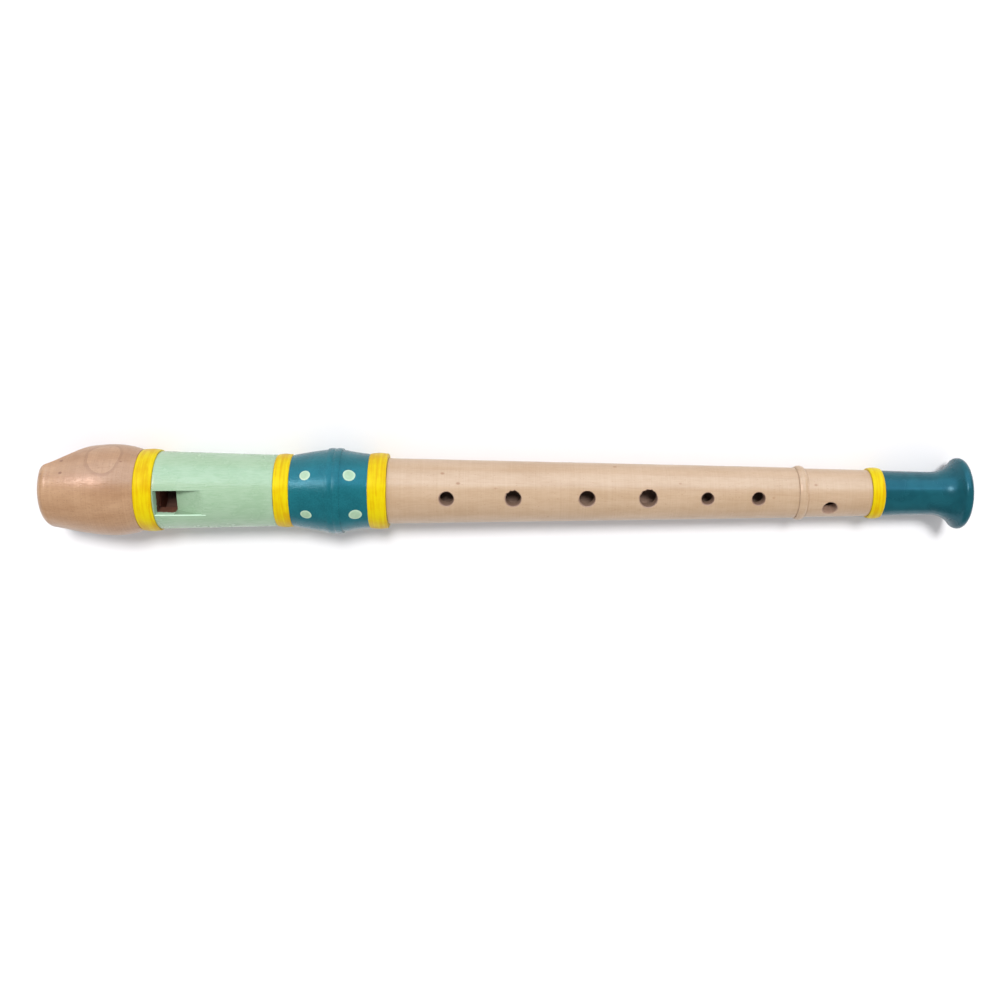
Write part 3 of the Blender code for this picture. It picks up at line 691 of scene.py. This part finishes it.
barrel_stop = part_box("socket_barrel")[1].x
left = BEAD_GROOVE_AT - BEAD_WIDTH
right = BEAD_GROOVE_AT + BEAD_WIDTH
barrel_side = smooth([
    (BARREL_START, BARREL_END_RADII[0]),
    ((BARREL_START + left) / 2, (BARREL_END_RADII[0] + WAIST_RADII[0]) / 2 + BARREL_SWELL),
    (left, WAIST_RADII[0]),
], 8)
barrel_side += crown(left, BEAD_WIDTH, BEAD_RADIUS, BEAD_CROWN)
barrel_side += crown(BEAD_GROOVE_AT, BEAD_WIDTH, BEAD_RADIUS, BEAD_CROWN)[1:]
barrel_side += smooth([
    (right, WAIST_RADII[1]),
    ((right + BARREL_END) / 2, (BARREL_END_RADII[1] + WAIST_RADII[1]) / 2 - BARREL_SWELL),
    (BARREL_END, BARREL_END_RADII[1]),
], 8)
barrel = turned("painted_barrel", barrel_side + [
    (BARREL_END, SOCKET_LIP_RADIUS), (barrel_stop, SOCKET_LIP_RADIUS), (barrel_stop, SOCKET_RADIUS),
    (barrel_stop - SOCKET_DEPTH, SOCKET_RADIUS),
    (barrel_stop - SOCKET_DEPTH, HEAD_BORE),
    (BARREL_START + BARREL_SPIGOT_DEPTH, HEAD_BORE),
    (BARREL_START + BARREL_SPIGOT_DEPTH, BARREL_SPIGOT + SPIGOT_FIT),
    (BARREL_START, BARREL_SPIGOT + SPIGOT_FIT),
], teal)
leave_bare(barrel, beech_with_painted_shade, BARREL_START, BARREL_END, SOCKET_LIP_RADIUS + EASED)

# Two rows of five mint dots, dabbed on with a round stick: thin at the middle, full at the rim
dot_rule, given = new_rule("dabbed_dots", {
    "Barrel": "Object", "Count": "Int", "Across": "Float", "Skew": "Float", "First Turn": "Float",
    "Bunching": "Float", "Dot Radius": "Float", "Thickness": "Float", "Wander": "Float", "Seed": "Float",
    "Finish": "Material"})
REACH = 15.6 * MM                      # a little over the barrel's widest radius
SPREAD = 1.09                          # undoes what the dots lose as they are laid down on the barrel
DISC_DEPTH = 0.4 * MM
SUNK = 0.03 * MM                       # how far a dot's edge reaches into the barrel
DOT_WANDER_SCALE = 230
number = add(dot_rule, "GeometryNodeInputIndex").outputs[0]
step = maths(dot_rule, "DIVIDE", 2 * math.pi, given["Count"])
turn = maths(dot_rule, "MULTIPLY_ADD", number, step, given["First Turn"])
later = maths(dot_rule, "MINIMUM", number, 1)
bunch = maths(dot_rule, "MULTIPLY", later, given["Bunching"])
turn = maths(dot_rule, "SUBTRACT", turn, bunch)
sine = maths(dot_rule, "SINE", turn)
cosine = maths(dot_rule, "COSINE", turn)
dot_y = maths(dot_rule, "MULTIPLY", sine, -REACH)
dot_z = maths(dot_rule, "MULTIPLY_ADD", cosine, REACH, AXIS)
dot_x = maths(dot_rule, "MULTIPLY_ADD", sine, given["Skew"], given["Across"])
spot = add(dot_rule, "ShaderNodeCombineXYZ", {"X": dot_x, "Y": dot_y, "Z": dot_z}).outputs[0]
spots = add(dot_rule, "GeometryNodePoints", {"Count": given["Count"], "Position": spot}).outputs[0]
disc = add(dot_rule, "GeometryNodeMeshCylinder", {
    "Vertices": 40, "Side Segments": 1, "Fill Segments": 7, "Radius": given["Dot Radius"],
    "Depth": DISC_DEPTH}).outputs[0]
here = add(dot_rule, "GeometryNodeInputPosition").outputs[0]
flat = vectors(dot_rule, "MULTIPLY", here, (1, 1, 0))
distance = length_of(dot_rule, flat)
share = maths(dot_rule, "DIVIDE", distance, given["Dot Radius"])
upper = add(dot_rule, "ShaderNodeSeparateXYZ", {0: here}).outputs["Z"]
upper = maths(dot_rule, "GREATER_THAN", upper, 0.0)
edge_drop = maths(dot_rule, "POWER", share, 8)
edge_keep = maths(dot_rule, "SUBTRACT", 1.0, edge_drop)
rim = remap(dot_rule, share, 0.55, 0.85, 0.6, 1.0, smooth=True)
full = maths(dot_rule, "MULTIPLY", rim, edge_keep)
full = maths(dot_rule, "MULTIPLY", full, upper)
coat_height = maths(dot_rule, "MULTIPLY_ADD", full, given["Thickness"], -SUNK)
disc = add(dot_rule, "GeometryNodeStoreNamedAttribute", {
    "Geometry": disc, "Name": "coat_height", "Value": coat_height},
    data_type="FLOAT", domain="POINT").outputs[0]
disc = add(dot_rule, "GeometryNodeStoreNamedAttribute", {
    "Geometry": disc, "Name": "rim", "Value": share}, data_type="FLOAT", domain="POINT").outputs[0]
roll = add(dot_rule, "ShaderNodeCombineXYZ", {"X": turn}).outputs[0]
dabs = add(dot_rule, "GeometryNodeInstanceOnPoints", {
    "Points": spots, "Instance": disc, "Rotation": roll, "Scale": (1, SPREAD, 1)}).outputs[0]
dabs = add(dot_rule, "GeometryNodeRealizeInstances", {"Geometry": dabs}).outputs[0]
hand = seeded_noise(dot_rule, here, given["Seed"], DOT_WANDER_SCALE)["Color"]
sway = vectors(dot_rule, "SUBTRACT", hand, (0.5, 0.5, 0.5))
sway = scaled(dot_rule, sway, given["Wander"])
dabs = add(dot_rule, "GeometryNodeSetPosition", {"Geometry": dabs, "Offset": sway}).outputs[0]
inward = vectors(dot_rule, "ADD", here, (0, 0, -AXIS))
inward = vectors(dot_rule, "MULTIPLY", inward, (0, -1, -1))
under = add(dot_rule, "GeometryNodeObjectInfo", {"Object": given["Barrel"]}).outputs["Geometry"]
found = add(dot_rule, "GeometryNodeRaycast", {
    "Target Geometry": under, "Source Position": here, "Ray Direction": inward, "Ray Length": REACH})
thick = add(dot_rule, "GeometryNodeInputNamedAttribute", {"Name": "coat_height"}).outputs[0]
away = scaled(dot_rule, found.outputs["Hit Normal"], thick)
laid = vectors(dot_rule, "ADD", found.outputs["Hit Position"], away)
dabs = add(dot_rule, "GeometryNodeSetPosition", {"Geometry": dabs, "Position": laid}).outputs[0]
end_rule(dot_rule, dabs, given["Finish"])

DOTS_TURN = math.radians(43)           # of each row's first dot, back from the window
DOTS_BUNCHED = math.radians(12)        # the first two dots of a row are this much closer together
DOT_THICKNESS = 0.13 * MM
DOT_WANDER = 0.5 * MM
DOTS_IN_ROW = 5
dots_finish = enamel("mint_enamel_dots", "#9DB89C", "#90AE8F", (2.0, 2.0), 0.36, 0.02 * MM, 5.5)
tree = dots_finish.node_tree
# The dots' colour is lighter towards the rim
rim_share = add(tree, "ShaderNodeAttribute", attribute_name="rim").outputs["Fac"]
rim_share = remap(tree, rim_share, 0.62, 0.80, smooth=True)
dot_colour = tree.nodes["Principled BSDF"].inputs["Base Color"]
rim_lightened_colour = blend(tree, rim_share, dot_colour.links[0].from_socket, "#A9C3A9")
tree.links.new(rim_lightened_colour, dot_colour)
for name, along, skew, radius, seed in (
    ("small_dots", 5.8 * MM, 0.2 * MM, 1.98 * MM, 2.2),
    ("large_dots", 22.1 * MM, 2.0 * MM, 2.28 * MM, 5.8),
):
    dots = put_in(name, bpy.data.meshes.new(name))
    shape_by(dots, dot_rule, {
        "Barrel": barrel, "Count": DOTS_IN_ROW, "Across": BARREL_START + along, "Skew": skew,
        "First Turn": HEAD_TURN - DOTS_TURN, "Bunching": DOTS_BUNCHED, "Dot Radius": radius,
        "Thickness": DOT_THICKNESS, "Wander": DOT_WANDER, "Seed": seed, "Finish": dots_finish})
    fit(dots, "head", "mint_enamel")
fit(barrel, "head", "teal_enamel", "socket_barrel")

# ---------------------------------------------------------------- middle joint
# The middle joint: pale maple turned to a straight taper, with a corked tenon at each end. Six finger
# holes and a thumb hole are drilled into the bore and lightly chamfered; some edges tore at the drill.

MIDDLE_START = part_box("socket_ring")[1].x + GLUE_GAP / 2
MIDDLE_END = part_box("foot_joint")[0].x - GLUE_GAP / 2
MIDDLE_RADII = (11.55 * MM, 8.85 * MM)
MIDDLE_BORE = (6.3 * MM, 4.7 * MM)
UPPER_TENON = (9.6 * MM, 8.7 * MM)     # radius, and at the bottom of its cork groove
LOWER_TENON = (6.35 * MM, 5.75 * MM)
UPPER_CORK = (1.6 * MM, 12.0 * MM)     # start from the shoulder, and width
LOWER_CORK = (1.6 * MM, 4.6 * MM)
CHAMFER = 0.32 * MM
SHOULDER_GAP = 0.02 * MM               # open crack between the lower shoulder and the foot
FINGER_HOLES = (                       # from the shoulder, diameter, depth of the torn edge
    (20.7 * MM, 4.9 * MM, 0.05 * MM),
    (43.7 * MM, 5.3 * MM, 0.32 * MM),
    (69.3 * MM, 5.4 * MM, 0.05 * MM),
    (90.5 * MM, 6.0 * MM, 0.30 * MM),
    (111.0 * MM, 4.2 * MM, 0.05 * MM),
    (128.7 * MM, 4.4 * MM, 0.10 * MM),
)
THUMB_HOLE = (13.2 * MM, 5.0 * MM)


def line_bore(piece, wood):
    """Faces that look at the bore's axis get the finish of drilled wood."""
    piece.data.materials.append(wood)
    for face in piece.data.polygons:
        outward = Vector((0, face.center.y, face.center.z - AXIS)).normalized()
        if outward.dot(face.normal) < -0.5:
            face.material_index = 1


def hole_cutter(name, x, surface, diameter, tear, turn, finish, seed, sides=72):
    """A drill with a chamfering lip that follows the round surface; tear roughens one side of its edge."""
    radius = diameter / 2
    rows = [(0.0, None), (0.0, -CHAMFER - 0.2 * MM), (0.12, -0.8 * CHAMFER), (0.5, -0.35 * CHAMFER),
            (1.0, 0.0), (1.8, 0.35 * MM), (2.0, 3 * MM)]
    work = bmesh.new()
    loops = []
    for spread, offset in rows:
        loop = []
        for i in range(sides):
            angle = 2 * math.pi * i / sides
            away = Vector((math.cos(angle), math.sin(angle), 0))
            grain = noise.noise(Vector((away.x * 2.3, away.y * 2.3, seed)) * 1.9)
            side = max(0.0, math.sin(angle)) ** 0.5
            reach = radius + spread * CHAMFER * (1 + 0.5 * noise.noise(away * 1.4 + Vector((seed, 0, 0))))
            if offset is not None:
                reach += tear * side * (0.4 + 1.2 * grain)
            y = away.y * reach
            under = math.sqrt(surface ** 2 - min(abs(y), 0.9 * surface) ** 2)
            z = 2 * MM if offset is None else under + offset
            loop.append(work.verts.new((x + away.x * reach, y, z)))
        loops.append(loop)
    for lower, upper in zip(loops, loops[1:]):
        for i in range(sides):
            j = (i + 1) % sides
            work.faces.new((lower[i], lower[j], upper[j], upper[i]))
    work.faces.new(list(reversed(loops[0])))
    centre = work.verts.new((x, 0, surface + 4 * MM))
    for i in range(sides):
        work.faces.new((loops[-1][i], loops[-1][(i + 1) % sides], centre))
    return as_piece(name, work, finish, turn)


# Plain maple under thin oil: pale straw, silky, with faint rings, fine tool marks and a few flecks
maple = turned_wood("oiled_maple", "#BDA287", "#B09375", "#9C7554", (9, -31), 3.4, 0.20, 0.16, 0.34, 12.6)
# Drilled maple: end fibres, rougher and a touch pinker than the surface
maple_cut = turned_wood("drilled_maple", "#A48977", "#957664", "#72513D", (9, -31), 1.6, 0.2, 0.1, 0.6, 12.6)
# The reamed bore, deep in the wood: dark with old oil, and darkened further as painted shade
maple_bore_oil_and_shade = turned_wood("reamed_maple_oil_and_painted_shade", "#A88C7C", "#8E7466", "#6E564A", (9, -31), 1.6, 0.2, 0.1, 0.6, 12.6)

middle_span = MIDDLE_END - MIDDLE_START
shoulder = MIDDLE_END - SHOULDER_GAP
upper_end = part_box("middle_joint")[0].x
lower_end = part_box("middle_joint")[1].x
upper_cork_x = (MIDDLE_START - UPPER_CORK[0] - UPPER_CORK[1], MIDDLE_START - UPPER_CORK[0])
lower_cork_x = (MIDDLE_END + LOWER_CORK[0], MIDDLE_END + LOWER_CORK[0] + LOWER_CORK[1])
middle = turned("oiled_middle_joint", eased([
    (upper_end, MIDDLE_BORE[0]), (upper_end, UPPER_TENON[0]),
    (upper_cork_x[0], UPPER_TENON[0]), (upper_cork_x[0], UPPER_TENON[1]),
    (upper_cork_x[1], UPPER_TENON[1]), (upper_cork_x[1], UPPER_TENON[0]),
    (MIDDLE_START, UPPER_TENON[0]), (MIDDLE_START, MIDDLE_RADII[0]),
    (shoulder, MIDDLE_RADII[1]), (shoulder, LOWER_TENON[0]),
    (lower_cork_x[0], LOWER_TENON[0]), (lower_cork_x[0], LOWER_TENON[1]),
    (lower_cork_x[1], LOWER_TENON[1]), (lower_cork_x[1], LOWER_TENON[0]),
    (lower_end, LOWER_TENON[0]), (lower_end, MIDDLE_BORE[1]),
], 0.06 * MM), maple)
line_bore(middle, maple_bore_oil_and_shade)
drills = []
for count, (station, diameter, tear) in enumerate(FINGER_HOLES, 1):
    surface = MIDDLE_RADII[0] + (MIDDLE_RADII[1] - MIDDLE_RADII[0]) * station / middle_span
    drills.append(hole_cutter(f"drill_{count}", MIDDLE_START + station, surface, diameter, tear, 0,
                              maple_cut, count * 3.7))
surface = MIDDLE_RADII[0] + (MIDDLE_RADII[1] - MIDDLE_RADII[0]) * THUMB_HOLE[0] / middle_span
drills.append(hole_cutter("thumb_drill", MIDDLE_START + THUMB_HOLE[0], surface, THUMB_HOLE[1],
                          0.05 * MM, math.pi, maple_cut, 29.0))
carve(middle, *drills)
fit(middle, "middle", "plain_maple", "middle_joint")

# ---------------------------------------------------------------- tenon corks
# Two strips of sheet cork, glued round the tenons' grooves with a slanting joint and sanded round,
# so that the joints push together airtight.

# Sheet cork: dry tan granules with dark pores
cork_finish, tree, shader, mm = new_finish("sheet_cork")
grains = add(tree, "ShaderNodeTexVoronoi", {"Vector": mm, "Scale": 1 / 0.9, "Randomness": 1})
grain_tone = add(tree, "ShaderNodeSeparateColor", {0: grains.outputs["Color"]}).outputs[0]
pores = grain(tree, mm, 1 / 1.3, 4, 0.7)
pits = remap(tree, pores, 0.60, 0.68, smooth=True)
cork_ground = blend(tree, grain_tone, "#C9A177", "#A97E55")
cork_colour = blend(tree, pits, cork_ground, "#5E3F28")
tree.links.new(cork_colour, shader.inputs["Base Color"])
shader.inputs["Roughness"].default_value = 0.85
cork_height = maths(tree, "MULTIPLY_ADD", pits, -1.0, grains.outputs["Distance"])
raise_skin(tree, shader, cork_height, 0.05 * MM)

CORK_FIT = 0.1 * MM
CORK_PROUD = 0.2 * MM                  # how far the cork stands out of the tenon
CORK_EASED = 0.3 * MM
SLIT_WIDTH = 0.12 * MM
SLIT_SLANT = 0.35                      # radians from straight along the tenon
for name, node, body, span, tenon in (
    ("upper_cork_strip", "upper_tenon_cork", "upper_cork", upper_cork_x, UPPER_TENON),
    ("lower_cork_strip", "lower_tenon_cork", "lower_cork", lower_cork_x, LOWER_TENON),
):
    start, end = span[0] + CORK_FIT, span[1] - CORK_FIT
    outer, inner = tenon[0] + CORK_PROUD, tenon[1] + CORK_FIT
    outline = [(start, inner), (start, outer), (end, outer), (end, inner)]
    strip = turned(name, eased(outline, CORK_EASED), cork_finish)
    slit = [(start - OVERCUT / 2, 0.0), (end + OVERCUT / 2, 0.0),
            (end + OVERCUT / 2, 2 * outer), (start - OVERCUT / 2, 2 * outer)]
    knife = bar("strip_knife", slit, SLIT_WIDTH, 0.0, cork_finish)
    centre = Matrix.Translation(((start + end) / 2, 0, 0))
    knife.data.transform(centre @ Matrix.Rotation(SLIT_SLANT, 4, "Z") @ centre.inverted())
    carve(strip, knife)
    fit(strip, body, "cork", node)

# ---------------------------------------------------------------- foot joint
# The foot: the same maple, with a bead turned round its mouth and a fine groove beside it. Its one
# finger hole is turned towards the little finger, and the bell is glued on its spigot.

FOOT_AT = MIDDLE_END
FOOT_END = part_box("foot_ring")[0].x - GLUE_GAP / 2
FOOT_SOCKET = 6.65 * MM
FOOT_SOCKET_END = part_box("middle_joint")[1].x + 0.3 * MM
FOOT_BEAD = (2.9 * MM, 9.58 * MM)      # width and radius
FOOT_GROOVE = (0.4 * MM, 0.15 * MM)    # width and depth
FOOT_RADII = (8.55 * MM, 8.12 * MM)
FOOT_BORE = 4.6 * MM
BELL_SPIGOT = 6.4 * MM
FOOT_HOLE = (11.1 * MM, 4.8 * MM)
FOOT_HOLE_TURN = math.radians(27)
FOOT_GAP = 0.03 * MM                   # open crack between the foot and the middle joint

foot_start = FOOT_AT + FOOT_GAP
groove_end = FOOT_AT + FOOT_BEAD[0] + FOOT_GROOVE[0]
bead = crown(foot_start, FOOT_BEAD[0] - GLUE_GAP / 2, FOOT_BEAD[1], RING_CROWN, 14)
foot = turned("oiled_foot_joint", eased([(foot_start, FOOT_SOCKET)] + bead + [
    (bead[-1][0], FOOT_RADII[0] - FOOT_GROOVE[1]), (groove_end, FOOT_RADII[0] - FOOT_GROOVE[1]),
    (groove_end + 0.2 * MM, FOOT_RADII[0]), (FOOT_END, FOOT_RADII[1]), (FOOT_END, BELL_SPIGOT),
    (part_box("foot_joint")[1].x, BELL_SPIGOT), (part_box("foot_joint")[1].x, FOOT_BORE),
    (FOOT_SOCKET_END, FOOT_BORE), (FOOT_SOCKET_END, FOOT_SOCKET),
], 0.08 * MM), maple)
line_bore(foot, maple_bore_oil_and_shade)
surface = FOOT_RADII[0] + (FOOT_RADII[1] - FOOT_RADII[0]) * FOOT_HOLE[0] / (FOOT_END - FOOT_AT)
carve(foot, hole_cutter("foot_drill", FOOT_AT + FOOT_HOLE[0], surface, FOOT_HOLE[1], 0.08 * MM,
                        FOOT_HOLE_TURN, maple_cut, 40.3))
fit(foot, "foot", "plain_maple", "foot_joint")

# ---------------------------------------------------------------- bell
# The bell: a waisted neck that flares to a rounded rim, dipped rather than brushed in teal enamel,
# so it is smoother and a little darker than the barrel. It is glued on the foot's spigot.

BELL_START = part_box("foot_ring")[1].x + GLUE_GAP / 2
BELL_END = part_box("foot_bell")[1].x
BELL_START_RADIUS = 8.0 * MM
BELL_NECK = 7.57 * MM
BELL_RADIUS = 12.48 * MM
BELL_FLARE = 10.0 * MM
BELL_RIM = 1.75 * MM
BELL_MOUTH = 6.2 * MM
BELL_MOUTH_DEPTH = 9.0 * MM
BELL_SPIGOT_DEPTH = 8.0 * MM

# Dipped teal enamel: glossy and level, with only a slow unevenness
bell_teal = enamel("dipped_teal_enamel", "#17505A", "#114650", (5.0, 5.0), 0.25, 0.035 * MM, 2.9,
                   (0.5, "#8FDCFF"))

flare_reach = BELL_FLARE + BELL_RIM
meet = math.acos((BELL_NECK + flare_reach - BELL_RADIUS) / flare_reach)
rim_centre = (BELL_END - BELL_RIM, BELL_RADIUS - BELL_RIM)
neck_x = rim_centre[0] - flare_reach * math.sin(meet)
flare_turn = math.degrees(meet)
neck = smooth([
    (BELL_START, BELL_START_RADIUS),
    (BELL_START + (neck_x - BELL_START) / 2, (BELL_START_RADIUS + 2 * BELL_NECK) / 3),
    (neck_x, BELL_NECK),
], 8)
flare = arc((neck_x, BELL_NECK + BELL_FLARE), (BELL_FLARE, BELL_FLARE), -90, flare_turn - 90, 24)
rim_round = arc(rim_centre, (BELL_RIM, BELL_RIM), 90 + flare_turn, 0, 24)
mouth_step = BELL_MOUTH - FOOT_BORE
bell = turned("dipped_bell", neck + flare[1:] + rim_round[1:] + eased([
    (BELL_END, BELL_MOUTH),
    (BELL_END - BELL_MOUTH_DEPTH / 3, FOOT_BORE + mouth_step / 3),
    (BELL_END - BELL_MOUTH_DEPTH, FOOT_BORE),
    (BELL_START + BELL_SPIGOT_DEPTH, FOOT_BORE),
    (BELL_START + BELL_SPIGOT_DEPTH, BELL_SPIGOT + SPIGOT_FIT),
    (BELL_START, BELL_SPIGOT + SPIGOT_FIT),
], 0.0), bell_teal)
leave_bare(bell, beech_with_painted_shade, BELL_START, BELL_END, BELL_MOUTH + EASED)
fit(bell, "foot", "teal_enamel", "foot_bell")

# ---------------------------------------------------------------- studio
# A white table in a bright room, the camera almost straight above it. One far light behind the recorder
# casts the soft shadow, one from the left makes the glints, and two reflector cards make the long bands.
# The recorder rests on its barrel's bead and its bell's rim.

CAMERA_TILT = math.radians(15)         # of the view from straight down, towards +Y
CAMERA_ROLL = math.radians(0.25)
CAMERA_DISTANCE = 404.8 * MM
VIEW_WIDTH = 353.5 * MM                # at the bore's axis
VIEW_CENTRE = (-1.6 * MM, -3.05 * MM)  # along the bore, and up the view from the axis
SENSOR = 36.0
ROOM_LIGHT = 0.64
ROOM_GLOSS = 0.25                      # what shows of the room in a gloss: it is darker than its light

TABLE_REACH = 3.0
TABLE_GAP = 0.05 * MM

floor_slope = (BEAD_RADIUS - BELL_RADIUS) / (BELL_END - BELL_RIM - BEAD_GROOVE_AT)
floor_mesh = bpy.data.meshes.new("table")
corners = []
for x, y in ((-1, -1), (1, -1), (1, 1), (-1, 1)):
    x, y = x * TABLE_REACH, y * TABLE_REACH
    corners.append((x, y, AXIS - BEAD_RADIUS + floor_slope * (x - BEAD_GROOVE_AT) - TABLE_GAP))
floor_mesh.from_pydata(corners, [], [(0, 1, 2, 3)])
floor = put_in("table", floor_mesh)
paper = bpy.data.materials.new("white_paper")
paper.use_nodes = True
shader = paper.node_tree.nodes["Principled BSDF"]
shader.inputs["Base Color"].default_value = linear("#E7E6E8")
shader.inputs["Roughness"].default_value = 0.9
shader.inputs["Specular IOR Level"].default_value = 0.0
floor_mesh.materials.append(paper)

world = bpy.data.worlds.new("studio")
world.use_nodes = True
rays = add(world.node_tree, "ShaderNodeLightPath").outputs["Is Glossy Ray"]
room = remap(world.node_tree, rays, 0, 1, ROOM_LIGHT, ROOM_GLOSS)
world.node_tree.links.new(room, world.node_tree.nodes["Background"].inputs["Strength"])
world.node_tree.nodes["Background"].inputs["Color"].default_value = (1, 1, 1, 1)
bpy.context.scene.world = world


def across(angle):
    """The direction across the bore that leans by an angle in degrees from straight up towards +Y."""
    return Vector((0, math.sin(math.radians(angle)), math.cos(math.radians(angle))))


def panel(name, lean, distance, length, width, power):
    """A card, long side along the bore, facing it from a lean in degrees; it only shows in gloss."""
    light = bpy.data.lights.new(name, "AREA")
    light.shape = "RECTANGLE"
    light.size = length
    light.size_y = width
    light.energy = power
    light.color = linear("#D2EAFF")[:3]
    lamp = put_in(name, light)
    towards = across(lean)
    lamp.matrix_world = Matrix.Translation(Vector((0, 0, AXIS)) + towards * distance) @ (
        towards.to_track_quat("Z", "Y").to_matrix().to_4x4())
    lamp.visible_diffuse = False


panel("broad_card", 63, 1.2, 2.6, 1.223, 23)
panel("bright_edge", 38, 1.2, 2.6, 0.06, 4.2)


def far_light(name, direction, angle, energy, colour):
    """A distant light from a direction, with its apparent width in degrees."""
    light = bpy.data.lights.new(name, "SUN")
    light.energy = energy
    light.angle = math.radians(angle)
    light.color = linear(colour)[:3]
    lamp = put_in(name, light)
    lamp.rotation_euler = direction.to_track_quat("Z", "Y").to_euler()
    return lamp


far_light("shadow_light", across(26) + Vector((0.03, 0, 0)), 13, 2.65, "#FFFFFF").visible_glossy = False
far_light("gloss_light", across(37) - Vector((0.55, 0, 0)), 13, 1.40, "#FFD6C6").visible_diffuse = False

camera_data = bpy.data.cameras.new("camera")
camera_data.sensor_width = SENSOR
camera_data.lens = SENSOR * CAMERA_DISTANCE / VIEW_WIDTH
camera = put_in("camera", camera_data)
view = Vector((0, math.sin(CAMERA_TILT), math.cos(CAMERA_TILT)))
up = Vector((0, math.cos(CAMERA_TILT), -math.sin(CAMERA_TILT)))
level = Vector((1, 0, 0)) * math.cos(CAMERA_ROLL) + up * math.sin(CAMERA_ROLL)
upright = up * math.cos(CAMERA_ROLL) - Vector((1, 0, 0)) * math.sin(CAMERA_ROLL)
eye = Vector((VIEW_CENTRE[0], 0, AXIS)) + up * VIEW_CENTRE[1] + view * CAMERA_DISTANCE
camera.matrix_world = Matrix.Translation(eye) @ Matrix((level, upright, view)).transposed().to_4x4()
bpy.context.scene.camera = camera
bpy.context.scene.view_settings.view_transform = "Standard"
